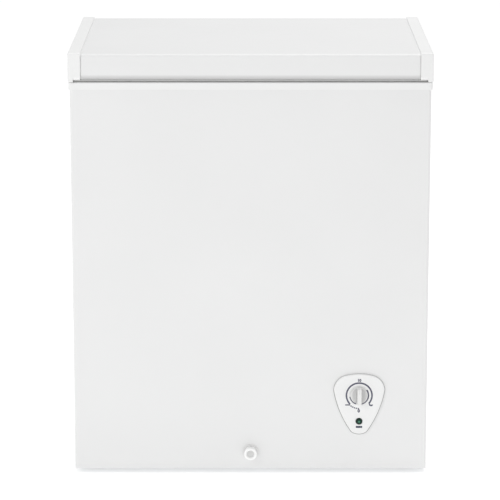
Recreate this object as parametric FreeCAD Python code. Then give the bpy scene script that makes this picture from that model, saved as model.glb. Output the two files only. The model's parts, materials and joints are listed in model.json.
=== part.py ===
import FreeCAD, Part
import math
import os

# A small top-opening chest freezer, about 5 cubic feet, in millimetres.
# +Z is up, the front faces -Y, and the origin is on the floor under the middle of the whole object.
# The cabinet is a painted sheet wrap round rigid foam round a tub. The tub has a raised step at its
# right-hand end, and the compressor stands in the compartment under that step. The lid turns on two
# spring hinges at the back.

V = FreeCAD.Vector

# ---------------------------------------------------------------- driving dimensions
BODY_W = 715.0            # width of the painted cabinet
BODY_D = 516.0            # depth of the painted cabinet
BODY_H = 781.0            # height of the painted cabinet, without feet and rim
FOOT_H = 10.0
RIM_OVERHANG = 2.5        # how far the rim collar stands out all round
RIM_H = 14.5
LID_GAP = 4.0             # between the top of the rim and the bottom of the lid
LID_H = 54.5
LID_ROLL = 7.0            # bend of the lid sheet's lower edges
LID_W = 722.0
SHEET = 0.8               # painted steel sheet
SKIN = 1.0                # liner and tray sheet
WALL = 58.0               # cabinet wall with its foam
FRONT_PROUD = 20.0        # how far the thermostat knob stands out of the front
REAR_PROUD = 20.0         # how far the hinges stand out of the back
TUB_FLOOR_Z = 70.0
STEP_X = 99.0             # where the tub's raised step begins
STEP_Z = 285.0            # the height of the raised step
TUB_R = 20.0              # the tub's upright corners
COMPARTMENT_X = 150.0     # the compressor compartment's inner wall
COMPARTMENT_Z = 234.0     # its ceiling
OPENING_ANGLE = 80.0      # how far the lid turns

# ---------------------------------------------------------------- places that follow from them
BX = BODY_W / 2                       # half widths and depths, from the middle
BY = BODY_D / 2
BODY_Z0 = FOOT_H
BODY_Z1 = BODY_Z0 + BODY_H
RIM_Z1 = BODY_Z1 + RIM_H
RX = BX + RIM_OVERHANG
RY = BY + RIM_OVERHANG
LID_Z0 = RIM_Z1 + LID_GAP
LID_Z1 = LID_Z0 + LID_H
LX = LID_W / 2
TX = BX - WALL                        # inside of the tub
TY = BY - WALL
WRAP_R = 6.0                          # bend at the cabinet's front corners


# ---------------------------------------------------------------- helpers
def box(x0, x1, y0, y1, z0, z1):
    """A plain block between two corners."""
    return Part.makeBox(x1 - x0, y1 - y0, z1 - z0, V(x0, y0, z0))


def block(hx, hy, z0, z1):
    """A block centred on the Z axis."""
    return box(-hx, hx, -hy, hy, z0, z1)


def cyl(radius, start, axis, length):
    """A cylinder from a point along an axis."""
    return Part.makeCylinder(radius, length, V(*start), V(*axis))


def fuse(shapes):
    """One clean solid from several that meet."""
    first, rest = shapes[0], shapes[1:]
    joined = first.fuse(rest) if rest else first
    return joined.removeSplitter()


def cut(shape, tools):
    """The shape less every tool."""
    return shape.cut(tools).removeSplitter()


def polygon_face(points):
    """A flat face through 3-D points."""
    vectors = [V(*p) for p in points]
    return Part.Face(Part.makePolygon(vectors + vectors[:1]))


def prism_x(points_yz, x0, x1):
    """A side-view outline, drawn in (y, z), pushed along X."""
    return polygon_face([(x0, y, z) for y, z in points_yz]).extrude(V(x1 - x0, 0, 0))


def rounded_block(hx, hy, z0, z1, radius):
    """A centred block with rounded upright edges."""
    return round_upright(block(hx, hy, z0, z1), radius)


def round_upright(shape, radius):
    """Rounds every upright edge of a block."""
    upright = [e for e in shape.Edges if abs(e.BoundBox.ZLength - shape.BoundBox.ZLength) < 1e-6]
    return shape.makeFillet(radius, upright)


def edges_where(shape, test):
    """The edges whose bounding box passes a test."""
    return [e for e in shape.Edges if test(e.BoundBox)]


def revolve_z(points_rz, centre):
    """A turned solid: an outline in (radius, z) spun about an upright axis through a point."""
    x, y = centre
    face = polygon_face([(x + r, y, z) for r, z in points_rz])
    return face.revolve(V(x, y, 0), V(0, 0, 1), 360)


def revolve_y(points_ry, centre):
    """A turned solid: an outline in (radius, y) spun about a front-to-back axis through (x, z)."""
    x, z = centre
    face = polygon_face([(x + r, y, z) for r, y in points_ry])
    return face.revolve(V(x, 0, z), V(0, 1, 0), 360)


def route_wire(points, bend):
    """Straight runs joined by tangent arcs of one radius."""
    pts = [V(*p) for p in points]
    edges = []
    start = pts[0]
    for before, corner, after in zip(pts, pts[1:], pts[2:]):
        run_in = corner - before
        run_out = after - corner
        u, w = V(run_in).normalize(), V(run_out).normalize()
        turn = math.acos(max(-1.0, min(1.0, u.dot(w))))
        setback = bend * math.tan(turn / 2)
        arc_start = corner - u * setback
        arc_end = corner + w * setback
        inwards = (w - u).normalize()
        middle = corner + inwards * (bend / math.cos(turn / 2) - bend)
        edges.append(Part.makeLine(start, arc_start))
        edges.append(Part.Arc(arc_start, middle, arc_end).toShape())
        start = arc_end
    edges.append(Part.makeLine(start, pts[-1]))
    return Part.Wire(edges)


def tube(points, outer_r, bend, inner_r=0.0):
    """A round tube or rod along a route."""
    path = route_wire(points, bend)
    start, ahead = V(*points[0]), V(*points[1])
    direction = (ahead - start).normalize()

    def swept(radius):
        ring = Part.Wire(Part.makeCircle(radius, start, direction))
        return path.makePipeShell([ring], True, False)

    solid = swept(outer_r)
    expected = math.pi * outer_r**2 * path.Length
    if abs(solid.Volume / expected - 1) > 0.02:
        print("tube volume is off:", round(solid.Volume / expected, 4), points[0])
    return solid.cut(swept(inner_r)) if inner_r else solid


def screw(tip, head_dir, head_r, head_h, shank_r, shank_l):
    """A pan-head screw seated at a point: the head stands up along head_dir, the shank goes the other way."""
    up = V(*head_dir)
    head = Part.makeCylinder(head_r, head_h, V(*tip), up)
    rim = edges_where(head, lambda b: True)
    crown = V(*tip) + up * head_h
    rim = [e for e in rim if e.Length > head_r and e.CenterOfMass.distanceToPoint(crown) < 0.01]
    head = head.makeFillet(head_h * 0.45, rim)
    shank = Part.makeCylinder(shank_r, shank_l, V(*tip), up * -1)
    side = V(0, 0, 1) if abs(up.z) < 0.5 else V(1, 0, 0)
    across = up.cross(side)
    recess = []
    for a, b in ((side, across), (across, side)):
        w, l, d = head_r * 0.16, head_r * 0.55, head_h * 0.6
        corner = V(*tip) + up * (head_h - d) - a * l - b * w
        face = Part.Face(Part.makePolygon([
            corner, corner + a * 2 * l, corner + a * 2 * l + b * 2 * w, corner + b * 2 * w, corner]))
        recess.append(face.extrude(up * (d + 1)))
    return cut(head.fuse(shank), recess)


parts = {}


def node(name, *solids):
    """Keeps a named piece, which is one solid or a group of like solids."""
    kept = [s for shape in solids for s in shape.Solids]
    bad = [s for s in kept if not s.isValid() or s.Volume <= 0]
    if bad or not kept:
        print("check", name, "solids", len(kept), "bad", len(bad))
    parts[name] = kept[0] if len(kept) == 1 else Part.makeCompound(kept)


# ---------------------------------------------------------------- places on the front
PANEL_X = 220.0           # middle of the control panel
KNOB_Z = 165.5
LAMP_Z = 111.0
DRAIN_Z = 44.0
DRAIN_Y = -165.0          # where the drain leaves the tub's floor

# ---------------------------------------------------------------- places of the hinges
HINGE_X = 215.0
PIVOT_Y = BY + 11.5
PIVOT_Z = RIM_Z1 + 5.5
PIN_R = 3.0

# ---------------------------------------------------------------- the tub and the compartment
IN_X = BX - SHEET                     # inside of the painted wrap
IN_Y0 = -BY + SHEET
IN_Y1 = BY - SHEET                    # inside of the back panel


def tub(grow, top):
    """The tub's inside space, grown by a skin, up to a height: the deep well joined to the raised step."""
    floor = TUB_FLOOR_Z - grow
    step = STEP_Z - grow
    well = box(-TX - grow, STEP_X + grow, -TY - grow, TY + grow, floor, top)
    shelf = box(STEP_X - TUB_R * 2, TX + grow, -TY - grow, TY + grow, step, top)
    well = round_upright(well, TUB_R + grow)
    shelf = round_upright(shelf, TUB_R + grow)
    bridge = box(STEP_X - TUB_R * 2, STEP_X + TUB_R + grow, -TY - grow, TY + grow, step, top)
    whole = fuse([well, shelf, bridge])
    low = edges_where(whole, lambda b: b.ZMax < floor + 0.01)
    return whole.makeFillet(12.0 + grow, low)


# ---------------------------------------------------------------- cabinet
def outer_shell():
    """One painted sheet bent round the front and both sides, with return flanges and its cut-outs."""
    outline = round_front(box(-BX, BX, -BY, IN_Y1, BODY_Z0, BODY_Z1), WRAP_R)
    inside = round_front(box(-IN_X, IN_X, IN_Y0, IN_Y1 + 1, BODY_Z0 - 1, BODY_Z1 + 1), WRAP_R - SHEET)
    wrap = outline.cut(inside)
    top_flange = 12.0
    rear_flange = 14.0
    lip = round_front(box(-IN_X, IN_X, IN_Y0, IN_Y1, BODY_Z1 - SHEET, BODY_Z1), WRAP_R - SHEET)
    lip = lip.cut(box(-IN_X + top_flange, IN_X - top_flange, IN_Y0 + top_flange, IN_Y1 + 1, 0, 1000))
    returns = [
        box(-IN_X, -IN_X + rear_flange, IN_Y1 - SHEET, IN_Y1, BODY_Z0, BODY_Z1),
        box(IN_X - rear_flange, IN_X, IN_Y1 - SHEET, IN_Y1, BODY_Z0, BODY_Z1),
    ]
    shell = fuse([wrap, lip] + returns)
    panel_hole = box(PANEL_X - 30, PANEL_X + 30, -BY - 1, IN_Y0 + 1, KNOB_Z - 24, KNOB_Z + 27)
    lamp_hole = box(PANEL_X - 10, PANEL_X + 10, -BY - 1, IN_Y0 + 1, LAMP_Z - 10, KNOB_Z)
    drain_hole = cyl(11.2, (0, -BY - 1, DRAIN_Z), (0, 1, 0), SHEET + 2)
    return cut(shell, [panel_hole, lamp_hole, drain_hole] + side_vents() + rear_screw_holes())


def rear_screw_holes():
    """The holes that the hinge brackets' and the grille's screws go into."""
    places = bracket_screw_places() + grille_screw_places()
    return [cyl(2.2, (x, BY - REAR_SCREW_L, z), (0, 1, 0), REAR_SCREW_L + 1) for x, z in places]


REAR_SCREW_L = 12.0


def round_front(shape, radius):
    """Rounds a block's two upright front edges."""
    y_front = shape.BoundBox.YMin
    height = shape.BoundBox.ZLength
    front = edges_where(shape, lambda b: b.ZLength > height - 0.01 and b.YMax < y_front + 0.01)
    return shape.makeFillet(radius, front)


VENT_ROWS = 9
VENT_PITCH = 14.0
VENT_Z0 = 70.0
VENT_LENGTH = 84.0
VENT_Y = (18.0, 122.0)


def side_vents():
    """Slots through the right-hand side beside the compressor, in two columns."""
    slots = []
    for row in range(VENT_ROWS):
        z = VENT_Z0 + row * VENT_PITCH
        for y in VENT_Y:
            slots.append(box(IN_X - 1, BX + 1, y, y + VENT_LENGTH, z, z + 5.0))
    return slots


BACK_CUT = (COMPARTMENT_X + 12, IN_X - 12, 18.0, COMPARTMENT_Z + 4)   # x0, x1, z0, z1


def rear_panel():
    """The flat back sheet, with the compartment's opening and shallow stiffening beads."""
    x0, x1, z0, z1 = BACK_CUT
    sheet = box(-IN_X, IN_X, IN_Y1, BY, BODY_Z0 + SKIN, BODY_Z1 - SHEET)
    beads = []
    for z in (330, 430, 530, 630):
        bead = box(-250, 250, BY, BY + 1.2, z, z + 12)
        rim = edges_where(bead, lambda b: b.YLength > 1)
        beads.append(bead.makeFillet(5.5, rim))
    return cut(fuse([sheet] + beads), [box(x0, x1, IN_Y1 - 1, BY + 2, z0, z1)] + rear_screw_holes())


FOOT_X = BX - 62
FOOT_Y = BY - 88
FOOT_PLACES = [(sx * FOOT_X, sy * FOOT_Y) for sy in (-1, 1) for sx in (-1, 1)]


def base_tray():
    """The folded floor tray that closes the cabinet from below."""
    floor = box(-IN_X, IN_X, IN_Y0, IN_Y1, BODY_Z0, BODY_Z0 + SKIN)
    floor = round_front(floor, WRAP_R - SHEET)
    turn_up = 18.0
    rear_return = 15.0
    sides = []
    for x0, x1 in ((-IN_X, -IN_X + SKIN), (IN_X - SKIN, IN_X)):
        sides.append(box(x0, x1, IN_Y0 + WRAP_R, IN_Y1 - rear_return, BODY_Z0, BODY_Z0 + turn_up))
    sides.append(box(-IN_X + WRAP_R, IN_X - WRAP_R, IN_Y0, IN_Y0 + SKIN, BODY_Z0, BODY_Z0 + turn_up))
    returns = []
    for sx in (-1, 1):
        x0, x1 = sorted((sx * (IN_X - rear_return), sx * (IN_X + 1)))
        returns.append(box(x0, x1, IN_Y1 - SHEET, IN_Y1 + 1, BODY_Z0 - 1, BODY_Z0 + SKIN + 1))
    holes = [cyl(2.7, (x, y, BODY_Z0 - 1), (0, 0, 1), SKIN + 2) for x, y in FOOT_PLACES]
    air = []
    for k in range(6):
        x0 = COMPARTMENT_X + 30 + k * 22
        air.append(box(x0, x0 + 8, -150, -60, BODY_Z0 - 1, BODY_Z0 + SKIN + 1))
    bolts = [cyl(3.2, (x, y, BODY_Z0 - 1), (0, 0, 1), SKIN + 2) for x, y in compressor_feet()]
    return cut(fuse([floor] + sides), returns + holes + air + bolts)


LINER_TOP = BODY_Z1 + 2.0             # under the rim's ledge
LEDGE_Z = RIM_Z1 - 9.5                # where the basket's hooks rest
LEDGE_IN = 3.0                        # how far the rim's inner lip stands inside the tub
LEDGE_OUT = 7.0                       # how far the ledge reaches outside it
RIM_T = 3.0


def inner_liner():
    """The tub: one thin skin with a step, a flange at the top and a hole for the drain."""
    skin = tub(SKIN, LINER_TOP).cut(tub(0.0, LINER_TOP + 5))
    flange_w = 6.0
    flange = rounded_block(TX + flange_w, TY + flange_w, LINER_TOP - SKIN, LINER_TOP, TUB_R + flange_w)
    flange = flange.cut(rounded_block(TX, TY, LINER_TOP - 5, LINER_TOP + 5, TUB_R))
    return cut(fuse([skin, flange]), [cyl(9.2, (0, DRAIN_Y, TUB_FLOOR_Z - 5), (0, 0, 1), 10)])


def rim_frame():
    """The moulded collar round the mouth: outer wall, flat seat, ledge for the basket and inner lip."""
    body = rounded_block(RX, RY, BODY_Z1, RIM_Z1, WRAP_R)
    top_edges = edges_where(body, lambda b: b.ZMin > RIM_Z1 - 0.01)
    body = body.makeFillet(2.5, top_edges)
    hollow = rounded_block(RX - 5, RY - 5, BODY_Z1 - 1, RIM_Z1 - RIM_T, WRAP_R - 2)
    well = rounded_block(TX + LEDGE_OUT, TY + LEDGE_OUT, LEDGE_Z, RIM_Z1 + 1, TUB_R + LEDGE_OUT)
    mouth = rounded_block(TX - LEDGE_IN, TY - LEDGE_IN, 700, RIM_Z1 + 1, TUB_R - LEDGE_IN)
    keep = rounded_block(TX + LEDGE_OUT + RIM_T, TY + LEDGE_OUT + RIM_T, LEDGE_Z - RIM_T, RIM_Z1, TUB_R + 10)
    lip = rounded_block(TX - 0.2, TY - 0.2, BODY_Z1 - 11, LEDGE_Z, TUB_R - 0.2)
    shell = body.cut(hollow).fuse(keep).fuse(lip)
    rounded = cut(shell, [well, mouth])
    x_in, y_in = TX + LEDGE_OUT + 1, TY + LEDGE_OUT + 1
    top = edges_where(rounded, lambda b: b.ZMin > RIM_Z1 - 0.01)
    top = [e for e in top if e.BoundBox.XLength < 2 * x_in and e.BoundBox.YLength < 2 * y_in]
    crest = [e for e in top if abs(e.CenterOfMass.x) < x_in and abs(e.CenterOfMass.y) < y_in]
    return rounded.makeFillet(1.2, crest)


COIL_POCKET_OUT = 7.0                 # room between foam and wrap for the condenser
COIL_POCKET_IN = 11.0                 # room between foam and tub for the evaporator
CONDENSER_Z = (300.0, 760.0)
EVAPORATOR_Z = (310.0, 765.0)


def insulation_foam(shell, tray, liner, rim):
    """Rigid foam that fills what the sheets leave, less the coil pockets, drain, screws and compartment."""
    fill = round_front(box(-IN_X, IN_X, IN_Y0, IN_Y1, BODY_Z0 + SKIN, RIM_Z1 - RIM_T), WRAP_R)
    space = tub(SKIN, RIM_Z1 + 10)
    ledge = LEDGE_OUT + RIM_T
    mouth = rounded_block(TX + ledge, TY + ledge, LINER_TOP - SKIN, RIM_Z1 + 10, TUB_R + ledge)
    compartment = box(COMPARTMENT_X - SKIN, IN_X + 1, IN_Y0 - 1, IN_Y1 + 1, 0, COMPARTMENT_Z + SKIN)
    c0, c1 = CONDENSER_Z
    core = box(-IN_X + COIL_POCKET_OUT, IN_X - COIL_POCKET_OUT, IN_Y0 + COIL_POCKET_OUT, BY, c0 - 1, c1 + 1)
    outer_pocket = box(-IN_X - 1, IN_X + 1, IN_Y0 - 1, BY - 40, c0, c1).cut(round_front(core, 10.5))
    e0, e1 = EVAPORATOR_Z
    grown = TUB_R + COIL_POCKET_IN
    inner_pocket = rounded_block(TX + COIL_POCKET_IN, TY + COIL_POCKET_IN, e0, e1, grown)
    fill = fill.cut([space, mouth, compartment, outer_pocket, inner_pocket])
    fill = fill.cut([
        tube(drain_route(-BY - 1, TUB_FLOOR_Z + 4), PIPE_OUT + 0.2, DRAIN_BEND),
        cyl(3.0, (PANEL_X, BULB_Y, COMPARTMENT_Z - 1), (0, 0, 1), 160),
        tube(cold_route(), 6.5, COLD_BEND),
        cyl(5.0, (DISCHARGE_X - 2, DISCHARGE_Y, COMPARTMENT_Z - 1), (0, 0, 1), c0 - COMPARTMENT_Z + 3),
    ] + [cyl(4.0, (x, y, BODY_Z0), (0, 0, 1), 12) for x, y in FOOT_PLACES] + rear_screw_holes())
    ridge = rounded_block(RX - 5, RY - 5, BODY_Z1 - 1, RIM_Z1 - RIM_T, WRAP_R - 2)
    below = box(-BX, BX, -BY, BY, 0, BODY_Z1)
    fill = fill.common(ridge.fuse(below))
    fill = fill.cut([shell, tray, liner, rim])
    return max(fill.Solids, key=lambda s: s.Volume).removeSplitter()


def compartment_liner():
    """The bent sheet between the foam and the compressor compartment: an upright wall and a ceiling."""
    x0, y0, y1, top = COMPARTMENT_X - SKIN, IN_Y0 + SKIN, IN_Y1 - SHEET, COMPARTMENT_Z + SKIN
    wall = box(x0, COMPARTMENT_X, y0, y1, BODY_Z0 + SKIN, top)
    ceiling = box(x0, IN_X, y0, y1, COMPARTMENT_Z, top)
    corner = box(IN_X - 15, IN_X + 1, IN_Y1 - 2, IN_Y1 + 1, 0, COMPARTMENT_Z + 5)
    holes = [
        cyl(3.0, (PANEL_X, BULB_Y, COMPARTMENT_Z - 1), (0, 0, 1), 4),
        cyl(6.5, (SUCTION_X, SUCTION_Y, COMPARTMENT_Z - 1), (0, 0, 1), 4),
        cyl(4.5, (DISCHARGE_X, DISCHARGE_Y, COMPARTMENT_Z - 1), (0, 0, 1), 4),
    ]
    inside_wrap = round_front(box(-IN_X, IN_X, IN_Y0, BY, 0, 400), WRAP_R)
    return cut(fuse([wall, ceiling]), holes + [corner]).common(inside_wrap)


def foot():
    """A round moulded foot with a sunk seat for its screw."""
    outline = [(0, 0), (17, 0), (19, 2), (20, FOOT_H), (0, FOOT_H)]
    solid = revolve_z(outline, (0, 0))
    return solid.cut([cyl(7.0, (0, 0, -1), (0, 0, 1), 6), cyl(2.7, (0, 0, -1), (0, 0, 1), FOOT_H + 2)])


def foot_screw():
    """The screw that holds a foot, head down inside the foot's seat."""
    return screw((0, 0, 5.0), (0, 0, -1), 6.0, 2.8, 2.5, 14.0)


# ---------------------------------------------------------------- coils
TUBE_BEND = 14.0


def condenser_coil():
    """The warm coil: level runs round the sides and front, one above another, joined at their ends."""
    x = IN_X - 3.6
    y_front = IN_Y0 + 3.6
    y_back = BY - 60
    levels = 8
    pitch = (CONDENSER_Z[1] - CONDENSER_Z[0] - 40) / (levels - 1)
    points = [(DISCHARGE_X, DISCHARGE_Y, COMPARTMENT_Z + 12), (DISCHARGE_X, DISCHARGE_Y, CONDENSER_Z[0] + 20)]
    side = 1
    for level in range(levels):
        z = CONDENSER_Z[0] + 20 + level * pitch
        near, far = side * x, -side * x
        loop = [(near, y_back, z), (near, y_front, z), (far, y_front, z), (far, y_back, z)]
        points += loop if level else loop[1:]
        side = -side
    return tube(points, 2.5, TUBE_BEND)


def evaporator_coil():
    """The cold coil wound down the outside of the tub's upper part."""
    off = SKIN + 5.2
    x, y = TX + off, TY + off
    turns = 7
    pitch = (EVAPORATOR_Z[1] - EVAPORATOR_Z[0] - 40) / turns
    corners = [(x, y), (-x, y), (-x, -y), (x, -y)]
    points = [(x / 2, y, EVAPORATOR_Z[1] - 20)]
    for step in range(1, turns * 4 + 1):
        cx, cy = corners[step % 4]
        points.append((cx, cy, EVAPORATOR_Z[1] - 20 - step * pitch / 4))
    points.append((-x / 2, y, points[-1][2]))
    return tube(points, 4.0, TUB_R + off)


# ---------------------------------------------------------------- compressor compartment
COMP_X = (COMPARTMENT_X + IN_X) / 2 + 2
COMP_Y = 118.0
COMP_Z = 36.0             # underside of the compressor's body
COMP_R = 68.0
SEAM_Z = COMP_Z + 78.0
PLATE_Z = 31.0
SHELL_T = 3.0
COLD_BEND = 14.0
SUCTION_X = COMPARTMENT_X + 14
SUCTION_Y = COMP_Y + 20
DISCHARGE_X = IN_X - 3.6
DISCHARGE_Y = BY - 140
BULB_Y = -228.0


def compressor_feet():
    """The four places where the compressor is bolted down."""
    return [(COMP_X + sx * 72, COMP_Y + sy * 52) for sx in (-1, 1) for sy in (-1, 1)]


def compressor_deck():
    """The pressed steel plate on the tray that carries the compressor."""
    plate = box(COMPARTMENT_X + 6, IN_X - 6, 20, 236, BODY_Z0 + SKIN, BODY_Z0 + SKIN + 2)
    low = BODY_Z0 + SKIN
    rails = [box(COMPARTMENT_X + 6, IN_X - 6, y, y + 2, low, low + 9) for y in (20, 234)]
    holes = [cyl(3.2, (x, y, 0), (0, 0, 1), 40) for x, y in compressor_feet()]
    holes += [cyl(4.5, (x, y, 0), (0, 0, 1), 40) for x, y in FOOT_PLACES]
    return cut(fuse([plate] + rails), holes)


def compressor_plate():
    """The compressor's own foot plate, with a hole over each grommet."""
    plate = box(COMP_X - 84, COMP_X + 84, COMP_Y - 64, COMP_Y + 64, PLATE_Z, PLATE_Z + 3)
    plate = round_upright(plate, 14)
    ring = cyl(COMP_R - 14, (COMP_X, COMP_Y, PLATE_Z + 3), (0, 0, 1), COMP_Z - PLATE_Z - 3)
    holes = [cyl(6.2, (x, y, 0), (0, 0, 1), 60) for x, y in compressor_feet()]
    return cut(fuse([plate, ring]), holes)


def compressor_lower_shell():
    """The lower drawn half of the sealed compressor, with the seam flange on top."""
    r, t, z = COMP_R, SHELL_T, COMP_Z
    outline = [(0, z), (r - 16, z), (r - 5, z + 5), (r, z + 16), (r, SEAM_Z - 4), (r + 4, SEAM_Z - 4),
               (r + 4, SEAM_Z), (r - t, SEAM_Z), (r - t, z + 17), (r - 5 - t, z + 7), (r - 17, z + t),
               (0, z + t)]
    return revolve_z(outline, (COMP_X, COMP_Y))


def compressor_upper_shell():
    """The upper drawn half, with the short pipe stubs for suction, discharge and filling."""
    r = COMP_R - 3
    top = SEAM_Z + 72
    t = SHELL_T
    outline = [(r - t, SEAM_Z), (r + 4, SEAM_Z), (r + 4, SEAM_Z + 3), (r, SEAM_Z + 3), (r, top - 26),
               (r - 5, top - 14), (r - 16, top - 6), (r - 34, top - 1), (0, top), (0, top - t),
               (r - 35, top - 1 - t), (r - 17, top - 6 - t), (r - 6 - t, top - 15 - t), (r - t, top - 27)]
    shell = revolve_z(outline, (COMP_X, COMP_Y))
    fill_stub = tube([(COMP_X + 20, COMP_Y - r + 8, SEAM_Z + 26), (COMP_X + 20, COMP_Y - r - 12, SEAM_Z + 26),
                      (COMP_X + 20, COMP_Y - r - 12, SEAM_Z + 62)], 3.2, 8)
    return fuse([shell, fill_stub])


def compressor_motor():
    """The motor and pump that stand inside the sealed shells: windings, stator stack, crankcase and head."""
    x, y, z = COMP_X, COMP_Y, COMP_Z + SHELL_T + 0.2
    legs = [cyl(6, (x + sx * 29, y + sy * 29, z), (0, 0, 1), 14) for sx in (-1, 1) for sy in (-1, 1)]
    stack = round_upright(box(x - 44, x + 44, y - 44, y + 44, z + 13, z + 60), 8)
    crankcase = cyl(38, (x, y, z + 59), (0, 0, 1), 34)
    head = cyl(22, (x, y, z + 78), (0, -1, 0), 52)
    return fuse(legs + [stack, crankcase, head])


def grommets():
    """Four ribbed rubber bushes between the deck and the compressor's plate."""
    z0 = BODY_Z0 + SKIN + 2
    outline = [(3.4, z0), (11, z0), (12, z0 + 2), (9.5, z0 + 6), (9.5, PLATE_Z - 3), (12, PLATE_Z - 1.5),
               (12, PLATE_Z), (6.0, PLATE_Z), (6.0, PLATE_Z + 5), (3.4, PLATE_Z + 5)]
    return [revolve_z(outline, place) for place in compressor_feet()]


def compressor_bolts():
    """Four studs with washers and nuts that hold the compressor down."""
    made = []
    for x, y in compressor_feet():
        stud = cyl(3.0, (x, y, BODY_Z0 - 0.5), (0, 0, 1), PLATE_Z + 18 - BODY_Z0)
        head = cyl(5.5, (x, y, BODY_Z0 - 3), (0, 0, 1), 3)
        washer = cyl(9.0, (x, y, PLATE_Z + 5.2), (0, 0, 1), 1.6)
        corners = [(x + 5.5 * math.cos(k * math.pi / 3), y + 5.5 * math.sin(k * math.pi / 3), PLATE_Z + 6.8)
                   for k in range(6)]
        nut = polygon_face(corners).extrude(V(0, 0, 5))
        made.append(fuse([stud, head, washer, nut]))
    return made


def terminal_cover():
    """The plastic box clipped over the compressor's terminals and starter, open towards the compressor."""
    x0, x1 = COMP_X - 34, COMP_X + 34
    y1 = COMP_Y - COMP_R - 5
    y0 = y1 - 36
    z0, z1 = COMP_Z + 10, COMP_Z + 68
    outer = box(x0, x1, y0, y1, z0, z1)
    outer = outer.makeFillet(5, edges_where(outer, lambda b: b.YMax < y0 + 0.01))
    inner = box(x0 + 2, x1 - 2, y0 + 2, y1 + 1, z0 + 2, z1 - 2)
    cord_slot = box(x0 - 1, x0 + 3, y0 + 10, y0 + 18, z0 + 8, z0 + 16)
    lead_hole = cyl(3.4, (COMP_X, y0 - 1, LEAD_Z), (0, 1, 0), 5)
    return cut(outer, [inner, cord_slot, lead_hole])


def start_relay():
    """The starter and overload block inside the terminal cover, on the compressor's three pins."""
    y1 = COMP_Y - COMP_R - 3
    relay = box(COMP_X - 24, COMP_X + 10, y1 - 24, y1, COMP_Z + 20, COMP_Z + 56)
    overload = cyl(11, (COMP_X + 18.5, y1 - 20, COMP_Z + 38), (0, 1, 0), 16)
    return fuse([relay, overload])


def filter_drier():
    """The copper drier: a fat cylinder that narrows at both ends."""
    x, y = COMPARTMENT_X + 24, -30.0
    outline = [(0, 96), (3.2, 96), (3.2, 106), (9.5, 116), (9.5, 186), (3.2, 196), (3.2, 204), (0, 204)]
    return revolve_z(outline, (x, y))


def cold_route():
    """The channel through the foam that the suction line and the capillary share."""
    y = TY + 28
    return [(SUCTION_X, SUCTION_Y, COMPARTMENT_Z - 1), (SUCTION_X, SUCTION_Y, 260), (SUCTION_X, y, 260),
            (SUCTION_X, y, EVAPORATOR_Z[0] + 30)]


def suction_line():
    """The wide return tube from the evaporator down through the foam to the compressor."""
    z = SEAM_Z + 30
    reach = COMP_R - 3
    upper = cold_route()[:0:-1]
    return tube(upper + [(SUCTION_X, SUCTION_Y, z), (COMP_X - reach + 4, SUCTION_Y, z)], 4.0, COLD_BEND)


def discharge_line():
    """The hot tube from the compressor up the right-hand wall to the condenser."""
    z = SEAM_Z + 22
    start_x = COMP_X + COMP_R - 8
    x, y = DISCHARGE_X, DISCHARGE_Y
    return tube([(start_x, COMP_Y, z), (x, COMP_Y, z), (x, y + 6, z + 40),
                 (x, y, COMPARTMENT_Z - 26), (x, y, COMPARTMENT_Z + 11.8)], 2.5, 8)


def capillary_tube():
    """The hair-thin tube that loops from the drier into the foam beside the suction line."""
    x, y = COMPARTMENT_X + 24, -30.0
    side = SUCTION_X - 5.2
    route = [(x, y, 204.2), (x, y, 222), (x - 6, y + 60, 222), (side, SUCTION_Y, 222),
             (side, SUCTION_Y, 260), (side, TY + 28, 260), (side, TY + 28, EVAPORATOR_Z[0] + 26)]
    return tube(route, 1.0, COLD_BEND)


def condenser_return():
    """The tube from the condenser's cool end to the bottom of the drier."""
    x, y = COMPARTMENT_X + 24, -30.0
    return tube([(x, y, 95.8), (x, y, 60), (x + 40, y - 50, 40), (IN_X - 12, y - 60, 40),
                 (IN_X - 12, y - 60, COMPARTMENT_Z - 0.2)], 2.5, 12)


GRILLE_T = 2.0


def compartment_grille():
    """The louvred cover over the compartment's opening in the back panel."""
    x0, x1, z0, z1 = BACK_CUT
    lap = 7.0
    plate = box(x0 - lap, x1 + lap, BY, BY + GRILLE_T, z0 - 4, z1 + lap)
    plate = round_y(plate, 8)
    slots = []
    columns = ((x0 + 10, (x0 + x1) / 2 - 6), ((x0 + x1) / 2 + 6, x1 - 10))
    rows = 11
    for row in range(rows):
        z = z0 + 42 + row * 15.0
        for a, b in columns:
            slots.append(box(a, b, BY - 1, BY + GRILLE_T + 1, z, z + 6))
    gland = cyl(8.2, (INLET_X, BY - 1, INLET_Z), (0, 1, 0), GRILLE_T + 2)
    screws = [cyl(2.2, (x, BY - 1, z), (0, 1, 0), GRILLE_T + 2) for x, z in grille_screw_places()]
    return cut(plate, slots + [gland] + screws)


def round_y(shape, radius):
    """Rounds a block's front-to-back edges."""
    deep = edges_where(shape, lambda b: abs(b.YLength - shape.BoundBox.YLength) < 1e-6)
    return shape.makeFillet(radius, deep)


def grille_screw_places():
    """The grille's screws, over the back panel's edge round the opening."""
    x0, x1, z0, z1 = BACK_CUT
    return [(x0 - 3.4, z0 + 20), (x1 + 3.4, z0 + 20), (x0 - 3.4, z1 - 12), (x1 + 3.4, z1 - 12)]


INLET_X = BACK_CUT[0] + 30
INLET_Z = BACK_CUT[2] + 17
INLET_BORE = 4.0


def cord_inlet():
    """The bush that the supply lead would pass through, gripping both faces of the grille."""
    near, far = BY - 0.05, BY + GRILLE_T + 0.05
    outline = [(INLET_BORE, BY - 5), (11, BY - 5), (11, near), (8.1, near), (8.1, far), (11.5, far),
               (9.5, BY + 9), (INLET_BORE, BY + 9)]
    return revolve_y(outline, (INLET_X, INLET_Z))


# ---------------------------------------------------------------- controls
BEZEL_T = 5.0
WELL_R = 20.2
KNOB_R = 17.2
SKIRT_H = 4.2                         # height of the knob's skirt
GRIP_HALF = 6.4
LENS_R = 7.0


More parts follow.
